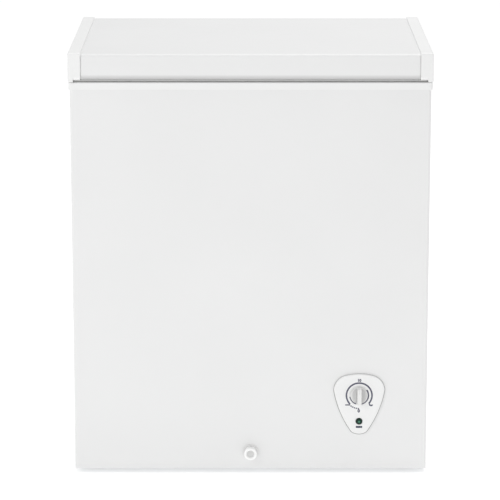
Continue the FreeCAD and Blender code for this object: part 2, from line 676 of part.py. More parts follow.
def bezel_outline():
    """The shield-shaped outline of the control panel in (x, z), as six arcs, at the cabinet's front face."""
    def at(x, z):
        return V(PANEL_X + x, -BY, KNOB_Z + z)

    right = [at(31.6, 39.4), at(44.5, 29.5), at(51.2, 11.0), at(38.4, -34.3), at(15.6, -76.0)]
    left = [at(-31.6, 39.4), at(-44.5, 29.5), at(-51.2, 11.0), at(-38.4, -34.3), at(-15.6, -76.0)]
    arcs = [
        Part.Arc(left[0], at(0, 44.2), right[0]),
        Part.Arc(right[0], right[1], right[2]),
        Part.Arc(right[2], right[3], right[4]),
        Part.Arc(right[4], at(0, -81.3), left[4]),
        Part.Arc(left[4], left[3], left[2]),
        Part.Arc(left[2], left[1], left[0]),
    ]
    return Part.Wire([a.toShape() for a in arcs])


def control_bezel():
    """The shield-shaped plate with a sunk well for the knob and a hole for the lamp's lens."""
    plate = Part.Face(bezel_outline()).extrude(V(0, -BEZEL_T, 0))
    front = edges_where(plate, lambda b: b.YMax < -BY - BEZEL_T + 0.01)
    plate = plate.makeFillet(2.2, front)
    well = cyl(WELL_R, (PANEL_X, -BY - BEZEL_T - 1, KNOB_Z), (0, 1, 0), 1 + 1.5)
    shaft_hole = cyl(5.0, (PANEL_X, -BY - 10, KNOB_Z), (0, 1, 0), 20)
    lens_hole = cyl(LENS_R + 0.2, (PANEL_X, -BY - 10, LAMP_Z), (0, 1, 0), 20)
    return cut(plate, [well, shaft_hole, lens_hole])


def thermostat_knob():
    """The dial: a low round skirt with a raised grip bar across it and a pointer notch at the top."""
    y_seat = -BY - BEZEL_T + 1.5 - 0.4
    y_skirt = y_seat - SKIRT_H
    y_top = -BY - FRONT_PROUD
    bevel = 1.5
    outline = [(0, y_seat), (KNOB_R, y_seat), (KNOB_R, y_skirt + bevel),
               (KNOB_R - bevel, y_skirt), (0, y_skirt)]
    skirt = revolve_y(outline, (PANEL_X, KNOB_Z))
    reach = KNOB_R - 0.8
    bar = box(PANEL_X - GRIP_HALF, PANEL_X + GRIP_HALF, y_top, y_skirt + 1, KNOB_Z - reach, KNOB_Z + reach)
    scoop_r = 9.0
    scoop_x = scoop_r + 3.4
    for x in (PANEL_X - scoop_x, PANEL_X + scoop_x):
        bar = bar.cut(cyl(scoop_r, (x, y_top + 2.2, KNOB_Z - 30), (0, 0, 1), 60))
    bar = bar.common(cyl(KNOB_R - 0.6, (PANEL_X, y_top - 1, KNOB_Z), (0, 1, 0), 30))
    whole = fuse([skirt, bar])
    pointer = box(PANEL_X - 0.8, PANEL_X + 0.8, y_top - 1, y_top + 0.8, KNOB_Z + 7, KNOB_Z + 16)
    socket = cyl(3.05, (PANEL_X, y_seat + 1, KNOB_Z), (0, -1, 0), 9)
    return cut(whole, [pointer, socket])


def thermostat_shaft():
    """The spindle that the knob turns, with a flat on one side."""
    rod = cyl(3.0, (PANEL_X, -BY - BEZEL_T - 6, KNOB_Z), (0, 1, 0), 30)
    flat = box(PANEL_X + 2.2, PANEL_X + 4, -BY - BEZEL_T - 7, -BY + 5, KNOB_Z - 4, KNOB_Z + 4)
    return rod.cut(flat)


THERMO_Y = -BY + 12.0


def thermostat_body():
    """The switch box behind the knob, with its threaded neck and two blade terminals."""
    case = box(PANEL_X - 19, PANEL_X + 19, THERMO_Y, THERMO_Y + 24, KNOB_Z - 15, KNOB_Z + 15)
    case = round_y(case, 3)
    neck = cyl(4.6, (PANEL_X, THERMO_Y, KNOB_Z), (0, -1, 0), 7)
    blades = [box(PANEL_X + x - 0.4, PANEL_X + x + 0.4, THERMO_Y + 24, THERMO_Y + 33, KNOB_Z - 3, KNOB_Z + 3)
              for x in (-9, 9)]
    bore = cyl(3.08, (PANEL_X, THERMO_Y - 8, KNOB_Z), (0, 1, 0), 22)
    return cut(fuse([case, neck] + blades), [bore])


def sensor_tube():
    """The capillary and bulb that feel the cold, from the thermostat up into the front wall's foam."""
    y0 = THERMO_Y + 12
    return tube([(PANEL_X, y0, KNOB_Z + 15.2), (PANEL_X, y0, KNOB_Z + 36), (PANEL_X, BULB_Y, KNOB_Z + 56),
                 (PANEL_X, BULB_Y, COMPARTMENT_Z + 150)], 1.6, 8)


def control_box():
    """The moulded pocket behind the cut-out that carries the thermostat and the lamp."""
    x0, x1 = PANEL_X - 38, PANEL_X + 38
    z0, z1 = LAMP_Z - 18, KNOB_Z + 32
    y1 = THERMO_Y + 40
    outer = box(x0, x1, IN_Y0, y1, z0, z1)
    inner = box(x0 + 2, x1 - 2, IN_Y0 - 1, y1 - 2, z0 + 2, z1 - 2)
    shelf = box(PANEL_X - 24, PANEL_X + 24, THERMO_Y + 24.1, y1 - 1, KNOB_Z - 17.5, KNOB_Z - 15.5)
    tube_hole = cyl(2.6, (PANEL_X, THERMO_Y + 12, z1 - 3), (0, 0, 1), 5)
    lead_hole = cyl(4.0, (PANEL_X, y1 - 5, LEAD_Z), (0, 1, 0), 8)
    return cut(fuse([outer.cut(inner), shelf]), [tube_hole, lead_hole])


def indicator_lens():
    """The green lens: a flanged dome that shows in the panel."""
    y0 = -BY - BEZEL_T
    outline = [(0, y0 + 3), (LENS_R, y0 + 3), (LENS_R, y0 - 0.6), (LENS_R - 1, y0 - 1.8),
               (LENS_R - 3.2, y0 - 3), (0, y0 - 3.4)]
    return revolve_y(outline, (PANEL_X, LAMP_Z))


def indicator_lamp():
    """The small lamp holder behind the lens."""
    y0 = -BY - BEZEL_T + 3.2
    outline = [(0, y0), (3.0, y0), (3.0, y0 + 4), (5.5, y0 + 4), (5.5, y0 + 18), (0, y0 + 18)]
    body = revolve_y(outline, (PANEL_X, LAMP_Z))
    legs = []
    for x in (PANEL_X - 3, PANEL_X + 3):
        legs.append(box(x - 0.5, x + 0.5, y0 + 17, y0 + 26, LAMP_Z - 1.5, LAMP_Z + 1.5))
    return fuse([body] + legs)


LEAD_Z = COMP_Z + 50


def control_wiring():
    """The sheathed wires from the control pocket along the compartment to the terminal cover."""
    y_box = THERMO_Y + 40
    y_cover = COMP_Y - COMP_R - 5 - 36
    route = [(PANEL_X, y_box - 6, LEAD_Z), (PANEL_X, y_box + 40, LEAD_Z), (PANEL_X + 10, -90, LEAD_Z - 40),
             (COMP_X, y_cover - 60, LEAD_Z), (COMP_X, y_cover + 5, LEAD_Z)]
    return tube(route, 3.0, 22)


# ---------------------------------------------------------------- drain
DRAIN_BEND = 16.0
PIPE_OUT = 11.0
PIPE_IN = 9.0
SPOUT_R = 8.7


def drain_route(y_front, z_top):
    """The drain's middle line, from the front to the hole in the tub's floor."""
    return [(0, y_front, DRAIN_Z), (0, DRAIN_Y, DRAIN_Z), (0, DRAIN_Y, z_top)]


def drain_pipe():
    """The elbow pipe from the tub's floor to the front."""
    route = drain_route(-BY - 1.0, TUB_FLOOR_Z - SKIN)
    return tube(route, PIPE_OUT, DRAIN_BEND, PIPE_IN)


def drain_flange():
    """The thin trim ring between the dial and the painted front."""
    r = PIPE_OUT + 0.1
    outline = [(r, -BY), (16.5, -BY), (16.5, -BY - 1.0), (15.5, -BY - 2.0), (r, -BY - 2.0)]
    return revolve_y(outline, (0, DRAIN_Z))


DIAL_R = 13.0
SEAL_Y = (-BY + 2.6, -BY + 34.0)


def drain_dial():
    """The round dial and its hollow spout: pulled out and turned, the hole in its side drains the tub."""
    y0 = -BY - 2.3
    y1 = -BY - 14.5
    outline = [(0, y0), (DIAL_R, y0), (DIAL_R, y1 + 2.5), (DIAL_R - 1.0, y1 + 0.8), (DIAL_R - 2.6, y1),
               (8.4, y1), (7.4, y1 + 0.8), (7.2, y1 + 3.0), (0, y1 + 3.0)]
    knob = revolve_y(outline, (0, DRAIN_Z))
    spout = cyl(SPOUT_R, (0, y0 - 0.5, DRAIN_Z), (0, 1, 0), 42)
    y_face = y1 + 3.2
    tips = [(-3.2, y_face, DRAIN_Z - 2.4), (3.2, y_face, DRAIN_Z - 2.4), (0, y_face, DRAIN_Z + 4.2)]
    arrow = polygon_face(tips).extrude(V(0, -1.4, 0))
    bore = cyl(6.4, (0, y0 + 3, DRAIN_Z), (0, 1, 0), 60)
    core = cyl(7.3, (0, y0, DRAIN_Z), (0, 1, 0), 60)
    grooves = [cyl(SPOUT_R + 1, (0, y - 1.2, DRAIN_Z), (0, 1, 0), 2.4).cut(core) for y in SEAL_Y]
    side_hole = cyl(3.5, (0, y0 + 14, DRAIN_Z), (0, 0, 1), 20)
    return cut(fuse([knob, spout, arrow]), [bore, side_hole] + grooves)


def drain_seals():
    """The two rubber rings in the spout's grooves: they slide with it, and the spout turns inside them."""
    return [Part.makeTorus(8.13, 0.79, V(0, y, DRAIN_Z), V(0, 1, 0)) for y in SEAL_Y]


def drain_stopper():
    """The rubber plug in the tub's floor, with a thin head and a finger tab."""
    z = TUB_FLOOR_Z
    outline = [(0, z - 14), (7.6, z - 14), (8.7, z - 0.3), (8.7, z + 0.1), (13, z + 0.1),
               (12, z + 2.4), (0, z + 2.8)]
    plug = revolve_z(outline, (0, DRAIN_Y))
    tab = box(-6, 6, DRAIN_Y - 1.5, DRAIN_Y + 1.5, TUB_FLOOR_Z + 1, TUB_FLOOR_Z + 12)
    tab = tab.makeFillet(4, edges_where(tab, lambda b: b.YLength > 2.9 and b.ZMin > TUB_FLOOR_Z + 11.9))
    return fuse([plug, tab])


# ---------------------------------------------------------------- lid
LID_SKIN_Y = BY + 1.5                 # front and back faces of the painted lid sheet
LID_SKIN_Z = LID_Z1 - 2.5
CAP_Y = BY + 4.0
CAP_IN = LX - 25.0                    # where the end caps begin
CAP_T = 2.5
CAP_GROOVE = 1.6                      # the open joint between the sheet and a cap
TONGUE_DEPTH = 3.0                    # how far below the sheet's face the cap's tongue lies
TONGUE_T = 1.5
LID_BEND = 5.0                        # bend of the sheet's upper edges
CAP_ROUND = 3.0
CAP_FOOT_X = LX - 10.7                # each cap's outer end comes down almost to the rim from here out
CAP_FOOT_Z = RIM_Z1 + 1.0
LINER_PLATE_Z = RIM_Z1 + 7.5          # underside of the lid's inner panel, where the gasket sits
BED_Z = LINER_PLATE_Z + 2.0           # its upper side, under the foam
LINER_X = LX - 11.0
LINER_Y = BY - 6.0


def rounded_x(x0, x1, y0, y1, z0, z1, top_r, low_r):
    """A long block along X whose upper and lower long edges are rounded differently."""
    shape = box(x0, x1, y0, y1, z0, z1)
    top = edges_where(shape, lambda b: b.XLength > 1 and b.ZMin > z1 - 0.01)
    shape = shape.makeFillet(top_r, top)
    low = edges_where(shape, lambda b: b.XLength > 1 and b.ZMax < z0 + 0.01)
    return shape.makeFillet(low_r, low)


def lid_skin():
    """The painted sheet over the lid: top, front and back in one bend, with flanges turned under."""
    end = CAP_IN - CAP_GROOVE
    outer = rounded_x(-end, end, -LID_SKIN_Y, LID_SKIN_Y, LID_Z0, LID_SKIN_Z, LID_BEND, LID_ROLL)
    t = SHEET
    inner = rounded_x(-CAP_IN - 1, CAP_IN + 1, -LID_SKIN_Y + t, LID_SKIN_Y - t, LID_Z0 + t, LID_SKIN_Z - t,
                      LID_BEND - t, LID_ROLL - t)
    flange = 12.0
    mouth_y = LID_SKIN_Y - flange
    gap = box(-CAP_IN - 1, CAP_IN + 1, -mouth_y, mouth_y, LID_Z0 - 1, LID_Z0 + 2)
    return cut(outer, [inner, gap])


def lid_cap(side):
    """One moulded end cap: it wraps the lid's end, a little proud of the sheet, open towards the middle."""
    x_end = side * LX
    x0, x1 = sorted((side * CAP_IN, x_end))
    body = box(x0, x1, -CAP_Y, CAP_Y, LID_Z0, LID_Z1)
    at_end = edges_where(body, lambda b: abs(b.XMin - x_end) < 0.01 and abs(b.XMax - x_end) < 0.01)
    outside = [e for e in at_end if e.BoundBox.ZMax > LID_Z0 + 1]
    long_top = edges_where(body, lambda b: b.XLength > 1 and b.ZMin > LID_Z1 - 0.01)
    body = body.makeFillet(CAP_ROUND, outside + long_top)
    long_low = edges_where(body, lambda b: b.XLength > 1 and b.ZMax < LID_Z0 + 0.01)
    body = body.makeFillet(LID_ROLL, long_low)
    x0, x1 = sorted((side * CAP_FOOT_X, x_end))
    end_foot = box(x0, x1, -CAP_Y, CAP_Y, CAP_FOOT_Z, LID_Z0 + 20)
    upright = edges_where(end_foot, lambda b: b.ZLength > 1 and abs(b.XMin - x_end) < 0.01)
    end_foot = end_foot.makeFillet(CAP_ROUND, upright)
    sole = edges_where(end_foot, lambda b: b.ZMax < CAP_FOOT_Z + 0.01)
    end_foot = end_foot.makeFillet(0.8, sole)
    outer = body.fuse(end_foot)
    xi0, xi1 = sorted((side * (CAP_IN - 1), side * (LX - CAP_T)))
    inner = box(xi0, xi1, -CAP_Y + CAP_T, CAP_Y - CAP_T, LID_Z0 + CAP_T, LID_Z1 - CAP_T)
    panel_room = block(LINER_X + 0.3, LINER_Y + 0.3, CAP_FOOT_Z - 1, LID_Z0 + CAP_T + 1)
    shell = outer.cut([inner, panel_room])
    tongue = cap_ring(side, CAP_IN - 7, LID_SKIN_Y - TONGUE_DEPTH, LID_SKIN_Z - TONGUE_DEPTH)
    web = cap_ring(side, CAP_IN, CAP_Y - 1, LID_Z1 - 1).common(outer)
    return fuse([shell, tongue, web])


def cap_ring(side, x_in, half_y, z_top):
    """An arch across the lid, open below: the cap's tongue under the sheet, or the web that carries it."""
    x0, x1 = sorted((side * x_in, side * (CAP_IN + 1)))
    arch = box(x0, x1, -half_y, half_y, LID_Z0 + 12, z_top)
    half = LID_SKIN_Y - TONGUE_DEPTH - TONGUE_T
    room = box(x0 - 1, x1 + 1, -half, half, LID_Z0, LID_SKIN_Z - TONGUE_DEPTH - TONGUE_T)
    return arch.cut(room)


LIP_T = 4.0                           # the panel's lip outside the gasket, resting on the sheet's flange
GASKET_OUT_X = TX + 43.0
GASKET_OUT_Y = TY + 46.0
GASKET_W = 18.0
PLUG_X = TX - 12.0
PLUG_Y = TY - 14.0
PLUG_DROP = 7.0


def barb_rect(grow):
    """Half sizes of the gasket's barb, in the middle of the gasket's width, grown by a clearance."""
    mid_x = GASKET_OUT_X - GASKET_W / 2
    mid_y = GASKET_OUT_Y - GASKET_W / 2
    half = 2.0
    return (mid_x + half + grow, mid_y + half + grow), (mid_x - half - grow, mid_y - half - grow)


def rect_ring(outer, inner, z0, z1):
    """A square-cornered ring between two half sizes."""
    return block(outer[0], outer[1], z0, z1).cut(block(inner[0], inner[1], z0 - 1, z1 + 1))


def lid_liner():
    """The formed white panel under the lid: a lip round its edge, the gasket's groove and a raised middle."""
    lip_z = LID_Z0 + SHEET
    plate = rounded_block(LINER_X, LINER_Y, lip_z, BED_Z, 5)
    recess = rounded_block(LINER_X - LIP_T, LINER_Y - LIP_T, lip_z - 1, LINER_PLATE_Z, 3)
    plate = plate.cut(recess)
    plug = rounded_block(PLUG_X, PLUG_Y, LINER_PLATE_Z - PLUG_DROP, BED_Z, TUB_R - 6)
    plug = plug.makeFillet(5.0, edges_where(plug, lambda b: b.ZMax < LINER_PLATE_Z - PLUG_DROP + 0.01))
    hollow = rounded_block(PLUG_X - 2, PLUG_Y - 2, LINER_PLATE_Z - PLUG_DROP + 2, BED_Z + 1, TUB_R - 8)
    outer, inner = barb_rect(0.2)
    groove = rect_ring(outer, inner, LINER_PLATE_Z - 1, BED_Z + 1)
    bed = rect_ring((outer[0] + 3, outer[1] + 3), (inner[0] - 3, inner[1] - 3), BED_Z, BED_Z + 8)
    channel = rect_ring(outer, inner, BED_Z - 1, BED_Z + 6)
    return cut(fuse([plate, plug, bed]), [hollow, groove, channel])


def lid_gasket():
    """The soft seal: a ribbed bellows ring with a magnet pocket below and a barb pushed into the liner."""
    out = (GASKET_OUT_X, GASKET_OUT_Y)
    within = (GASKET_OUT_X - GASKET_W, GASKET_OUT_Y - GASKET_W)

    def inset(pair, d):
        return (pair[0] + d, pair[1] + d)

    z0, z1 = RIM_Z1, LINER_PLATE_Z
    foot_h = 4.0
    layers = [
        rect_ring(out, within, z0, z0 + foot_h),
        rect_ring(inset(out, -3.0), inset(within, 3.0), z0 + foot_h, z0 + foot_h + 1.2),
        rect_ring(out, within, z0 + foot_h + 1.2, z1),
    ]
    outer, inner = barb_rect(0.0)
    layers.append(rect_ring(outer, inner, z1, BED_Z + 5))
    pocket = rect_ring(inset(within, 11.0), inset(within, -1), z0 + 0.9, z0 + 3.5)
    return cut(fuse(layers), [pocket])


def gasket_magnets():
    """Four magnet strips in the gasket's pocket, one to a side."""
    x = GASKET_OUT_X - GASKET_W
    y = GASKET_OUT_Y - GASKET_W
    z0, z1 = RIM_Z1 + 1.0, RIM_Z1 + 3.4
    w0, w1 = 0.4, 10.8
    return [
        box(-x - 8, x + 8, -y - w1, -y - w0, z0, z1),
        box(-x - 8, x + 8, y + w0, y + w1, z0, z1),
        box(-x - w1, -x - w0, -y + 1, y - 1, z0, z1),
        box(x + w0, x + w1, -y + 1, y - 1, z0, z1),
    ]


def lid_foam(skin, caps, liner, gasket):
    """Foam that fills the lid between its skin, caps and liner."""
    ends = []
    for side in (-1, 1):
        x0, x1 = sorted((side * (CAP_IN + 1), side * (LX - CAP_T)))
        ends.append(box(x0, x1, -CAP_Y + CAP_T, CAP_Y - CAP_T, BED_Z, LID_Z1 - CAP_T))
    reach = CAP_IN - CAP_GROOVE - 7
    depth = LID_SKIN_Y - SHEET
    top = LID_SKIN_Z - SHEET
    middle = rounded_x(-reach, reach, -depth, depth, LID_Z0 + SHEET, top, LID_BEND - 0.6, LID_ROLL - SHEET)
    middle = middle.cut(block(LINER_X, LINER_Y, LID_Z0, BED_Z))
    core = block(CAP_IN + 2, depth - TONGUE_DEPTH - TONGUE_T, BED_Z, top - TONGUE_DEPTH - TONGUE_T)
    plug = rounded_block(PLUG_X - 2.2, PLUG_Y - 2.2, LINER_PLATE_Z - PLUG_DROP + 2, BED_Z + 1, TUB_R - 8)
    fill = middle.fuse(ends + [core, plug])
    outer, inner = barb_rect(0.2)
    barb_room = rect_ring(outer, inner, BED_Z - 1, BED_Z + 6)
    fill = fill.cut([skin, liner, gasket, barb_room] + caps)
    fill = fill.cut([cyl(3.0, (x, LID_SKIN_Y + 1, z), (0, -1, 0), 16) for x, z in leaf_screw_places()])
    return max(fill.Solids, key=lambda s: s.Volume).removeSplitter()


# ---------------------------------------------------------------- hinges
CAM_START = 13.0          # from the pivot to the middle of the plunger's nose, lid closed
NOSE_R = 3.0
CAM_STROKE = 4.5          # how far the plunger rises as the lid opens
CAM_RATE = CAM_STROKE / math.radians(OPENING_ANGLE)
SEAT_Z = 692.5            # top of the bracket's bottom plate
SHOULDER_Z = 778.0        # where the spring pushes the plunger
LEAF_T = 2.0


def cam_profile():
    """The cam's edge in (y, z) about the pivot, so that the nose moves evenly with the lid's angle."""
    pts = []
    for degrees in (-8, 0, 16, 32, 48, 64, 80, 88):
        a = math.radians(degrees)
        reach = CAM_START - CAM_RATE * a
        out = (math.sin(a), -math.cos(a))
        along = (math.cos(a), math.sin(a))
        size = math.hypot(reach, CAM_RATE)
        normal = [(reach * o + CAM_RATE * t) / size for o, t in zip(out, along)]
        pts.append(tuple(reach * o - NOSE_R * n for o, n in zip(out, normal)))
    return pts


def hinge_leaf(xc):
    """The lid's half of a hinge: a plate, two lugs, a barrel and the cam between them."""
    y_face = LID_SKIN_Y
    plate = box(xc - 17, xc + 17, y_face, y_face + LEAF_T, PIVOT_Z + 8, LID_SKIN_Z - 6)
    plate = round_y(plate, 3)
    lug_r = 7.0
    lugs = []
    for x0 in (xc - 17, xc + 14.5):
        side = [(y_face, PIVOT_Z + 9), (y_face, PIVOT_Z + 34), (y_face + LEAF_T, PIVOT_Z + 34),
                (PIVOT_Y + lug_r, PIVOT_Z + 1), (PIVOT_Y + 2, PIVOT_Z - 2),
                (PIVOT_Y - lug_r + 0.5, PIVOT_Z + 2)]
        flank = prism_x(side, x0, x0 + 2.5)
        eye = cyl(lug_r, (x0, PIVOT_Y, PIVOT_Z), (1, 0, 0), 2.5)
        lugs.append(fuse([flank, eye]))
    barrel = cyl(5.0, (xc - 15, PIVOT_Y, PIVOT_Z), (1, 0, 0), 30)
    edge = [V(xc - 6, PIVOT_Y + y, PIVOT_Z + z) for y, z in cam_profile()]
    curve = Part.BSplineCurve()
    curve.interpolate(edge)
    pivot = V(xc - 6, PIVOT_Y, PIVOT_Z)
    outline = Part.Wire([curve.toShape(), Part.makeLine(edge[-1], pivot), Part.makeLine(pivot, edge[0])])
    cam = Part.Face(outline).extrude(V(12, 0, 0))
    bore = cyl(PIN_R + 0.08, (xc - 30, PIVOT_Y, PIVOT_Z), (1, 0, 0), 60)
    screws = [cyl(2.6, (x, y_face - 1, z), (0, 1, 0), 5) for x, z in leaf_screw_places() if abs(x - xc) < 20]
    return cut(fuse([plate, barrel, cam] + lugs), [bore] + screws)


def leaf_screw_places():
    """Two screws in each leaf, one above the other."""
    return [(sx * HINGE_X, z) for sx in (-1, 1) for z in (PIVOT_Z + 22, PIVOT_Z + 36)]


def hinge_bracket(xc):
    """The cabinet's half: a channel that holds the spring, with screw flanges, pin ears and a guide rod."""
    web_y = BY + REAR_PROUD - 1.5
    low, neck = SEAT_Z - 1.5, BODY_Z1 - 2
    web = box(xc - 20, xc + 20, web_y, BY + REAR_PROUD, low, PIVOT_Z - 16)
    ear_r = 7.5
    ears = []
    for x0 in (xc - 20, xc + 18.5):
        side = prism_x([(BY, low), (BY, neck - 4), (PIVOT_Y - ear_r, BODY_Z1 - 1), (PIVOT_Y - ear_r, PIVOT_Z),
                        (PIVOT_Y + ear_r, PIVOT_Z), (BY + REAR_PROUD, PIVOT_Z - 16), (BY + REAR_PROUD, low)],
                       x0, x0 + 1.5)
        eye = cyl(ear_r, (x0, PIVOT_Y, PIVOT_Z), (1, 0, 0), 1.5)
        ears.append(fuse([side, eye]))
    floor = box(xc - 20, xc + 20, BY, BY + REAR_PROUD, low, SEAT_Z)
    flanges = [round_y(box(x0, x0 + 15.5, BY, BY + 1.5, low, neck - 6), 3) for x0 in (xc - 34, xc + 18.5)]
    rod = cyl(2.5, (xc, PIVOT_Y, SEAT_Z - 1), (0, 0, 1), 94)
    window = box(xc - 5, xc + 5, web_y - 1, BY + REAR_PROUD + 1, SEAT_Z + 14, SHOULDER_Z - 6)
    window = round_y(window, 4.9)
    holes = [cyl(2.2, (x, BY - 1, z), (0, 1, 0), 4) for x, z in bracket_screw_places() if abs(x - xc) < 40]
    pin_hole = cyl(PIN_R + 0.05, (xc - 30, PIVOT_Y, PIVOT_Z), (1, 0, 0), 60)
    return cut(fuse([web, floor, rod] + ears + flanges), [window, pin_hole] + holes)


def bracket_screw_places():
    """Two screws in each flange of each bracket."""
    heights = (SEAT_Z + 12, BODY_Z1 - 24)
    return [(sx * HINGE_X + dx, z) for sx in (-1, 1) for dx in (-27.5, 27.5) for z in heights]


def hinge_pin(xc):
    """The headed pin through a hinge's ears and barrel."""
    rod = cyl(PIN_R, (xc - 21.5, PIVOT_Y, PIVOT_Z), (1, 0, 0), 43)
    heads = [cyl(4.6, (x, PIVOT_Y, PIVOT_Z), (1, 0, 0), 1.6) for x in (xc - 21.7, xc + 20.1)]
    return fuse([rod] + heads)


def hinge_spring(xc):
    """The coil spring round the guide rod, between the bracket's floor and the plunger."""
    wire_r = 1.0
    coil_r = 5.0
    pitch = 5.2
    z0, z1 = SEAT_Z + wire_r + 0.1, SHOULDER_Z - wire_r - 0.1
    helix = Part.makeHelix(pitch, z1 - z0, coil_r)
    ring = Part.Wire(Part.makeCircle(wire_r, V(coil_r, 0, 0), V(0, 1, pitch / (2 * math.pi * coil_r))))
    coil = Part.Wire(helix).makePipeShell([ring], True, True)
    coil.translate(V(xc, PIVOT_Y, z0))
    return coil


def hinge_plunger(xc):
    """The plunger that the spring presses against the cam: a bored body with a round nose."""
    nose_z = PIVOT_Z - CAM_START - 0.25
    body = cyl(6.4, (xc, PIVOT_Y, SHOULDER_Z), (0, 0, 1), 15)
    stem = box(xc - 4.5, xc + 4.5, PIVOT_Y - NOSE_R, PIVOT_Y + NOSE_R, SHOULDER_Z + 14, nose_z)
    nose = cyl(NOSE_R, (xc - 4.5, PIVOT_Y, nose_z), (1, 0, 0), 9)
    bore = cyl(2.7, (xc, PIVOT_Y, SHOULDER_Z - 1), (0, 0, 1), 14)
    return cut(fuse([body, stem, nose]), [bore])


# ---------------------------------------------------------------- basket
WIRE = 2.0                # radius of the basket's wire
BASKET_X0, BASKET_X1 = 60.0, 281.0
BASKET_Y = TY - 10.0
BASKET_Z0, BASKET_Z1 = 600.0, 786.0


def wire_run(a, b):
    """A straight wire between two points."""
    start, end = V(*a), V(*b)
    return Part.makeCylinder(WIRE, (end - start).Length, start, end - start)


def spread(low, high, count):
    """Evenly spaced places from low to high."""
    return [low + (high - low) * k / (count - 1) for k in range(count)]


WELD = 3.4                # wires that cross lie one behind the other, a little sunk into each other


def basket_grids():
    """The basket as five flat welded grids: floor, two sides, front and back with their hooks."""
    x0, x1, y, z0, z1 = BASKET_X0, BASKET_X1, BASKET_Y, BASKET_Z0, BASKET_Z1
    clear = WELD + WIRE + 0.6
    past = 3.0
    inner_y = y - clear
    levels = spread(z0, z1, 4)
    grids = []
    floor = [wire_run((x, -inner_y, z0), (x, inner_y, z0))
             for x in spread(x0 + clear + past, x1 - clear - past, 8)]
    floor += [wire_run((x0 + clear, v, z0 + WELD), (x1 - clear, v, z0 + WELD))
              for v in spread(-inner_y + past, inner_y - past, 9)]
    grids.append(fuse(floor))
    for x, inward in ((x0, WELD), (x1, -WELD)):
        side = [wire_run((x, v, z0 - past), (x, v, z1 + past))
                for v in spread(-inner_y + past, inner_y - past, 9)]
        side += [wire_run((x + inward, -inner_y, z), (x + inward, inner_y, z)) for z in levels]
        grids.append(fuse(side))
    for s in (-1, 1):
        face = [wire_run((x, s * y, z0 - past), (x, s * y, z1 + past))
                for x in spread(x0 + past, x1 - past, 6)]
        face += [wire_run((x0, s * (y - WELD), z), (x1, s * (y - WELD), z)) for z in levels]
        hook_z = LEDGE_Z + WIRE + 0.3
        for x in (x0 + 36, x1 - 36):
            hook = [(x, s * y, z1 - 30), (x, s * y, hook_z), (x, s * (TY + LEDGE_OUT - 3.2), hook_z)]
            face.append(tube(hook, WIRE, 4.0))
        grids.append(fuse(face))
    return grids


# ---------------------------------------------------------------- assembly
def mirrored_pair(base, make):
    """The same maker at the left and the right hinge."""
    node("left_" + base, make(-HINGE_X))
    node("right_" + base, make(HINGE_X))


def build():
    """Makes every named piece."""
    shell, tray, liner, rim = outer_shell(), base_tray(), inner_liner(), rim_frame()
    node("outer_shell", shell)
    node("base_tray", tray)
    node("inner_liner", liner)
    node("rim_frame", rim)
    node("rear_panel", rear_panel())
    node("insulation_foam", insulation_foam(shell, tray, liner, rim))
    node("compartment_liner", compartment_liner())
    node("feet", *[foot().translated(V(x, y, 0)) for x, y in FOOT_PLACES])
    node("foot_screws", *[foot_screw().translated(V(x, y, 0)) for x, y in FOOT_PLACES])
    node("condenser_coil", condenser_coil())
    node("evaporator_coil", evaporator_coil())

    node("compressor_deck", compressor_deck())
    node("compressor_plate", compressor_plate())
    node("compressor_lower_shell", compressor_lower_shell())
    node("compressor_upper_shell", compressor_upper_shell())
    node("compressor_motor", compressor_motor())
    node("compressor_grommets", *grommets())
    node("compressor_bolts", *compressor_bolts())
    node("terminal_cover", terminal_cover())
    node("start_relay", start_relay())
    node("filter_drier", filter_drier())
    node("suction_line", suction_line().cut(parts["compressor_upper_shell"]))
    node("discharge_line", discharge_line().cut(parts["compressor_upper_shell"]))
    node("capillary_tube", capillary_tube())
    node("condenser_return", condenser_return())
    node("compartment_grille", compartment_grille())
    node("grille_screws", *[screw((x, BY + GRILLE_T, z), (0, 1, 0), 3.6, 2.2, 2.0, 9.0)
                            for x, z in grille_screw_places()])
    node("cord_inlet", cord_inlet())

    node("control_bezel", control_bezel())
    node("control_box", control_box())
    node("thermostat_knob", thermostat_knob())
    node("thermostat_shaft", thermostat_shaft())
    node("thermostat_body", thermostat_body())
    node("sensor_tube", sensor_tube())
    node("indicator_lens", indicator_lens())
    node("indicator_lamp", indicator_lamp())
    node("control_wiring", control_wiring())

    node("drain_pipe", drain_pipe())
    node("drain_flange", drain_flange())
    node("drain_dial", drain_dial())
    node("drain_seals", *drain_seals())
    node("drain_stopper", drain_stopper())

    skin, caps = lid_skin(), [lid_cap(-1), lid_cap(1)]
    panel, gasket = lid_liner(), lid_gasket()
    skin = cut(skin, [cyl(2.0, (x, LID_SKIN_Y + 1, z), (0, -1, 0), 4) for x, z in leaf_screw_places()])
    node("lid_skin", skin)
    node("lid_left_cap", caps[0])
    node("lid_right_cap", caps[1])
    node("lid_liner", panel)
    node("lid_gasket", gasket)
    node("gasket_magnets", *gasket_magnets())
    node("lid_foam", lid_foam(skin, caps, panel, gasket))
    node("leaf_screws", *[screw((x, LID_SKIN_Y + LEAF_T, z), (0, 1, 0), 4.2, 2.4, 1.95, 14)
                          for x, z in leaf_screw_places()])

    mirrored_pair("hinge_leaf", hinge_leaf)
    mirrored_pair("hinge_bracket", hinge_bracket)
    mirrored_pair("hinge_plunger", hinge_plunger)
    node("hinge_pins", hinge_pin(-HINGE_X), hinge_pin(HINGE_X))
    node("hinge_springs", hinge_spring(-HINGE_X), hinge_spring(HINGE_X))
    node("bracket_screws", *[screw((x, BY + 1.5, z), (0, 1, 0), 4.0, 2.4, 2.0, 9.0)
                             for x, z in bracket_screw_places()])
    node("wire_basket", *basket_grids())


def write():
    """Writes each piece to its own STEP file."""
    os.makedirs("parts", exist_ok=True)
    for name, shape in parts.items():
        shape.exportStep("parts/" + name + ".step")
    print(len(parts), "nodes")


build()
write()
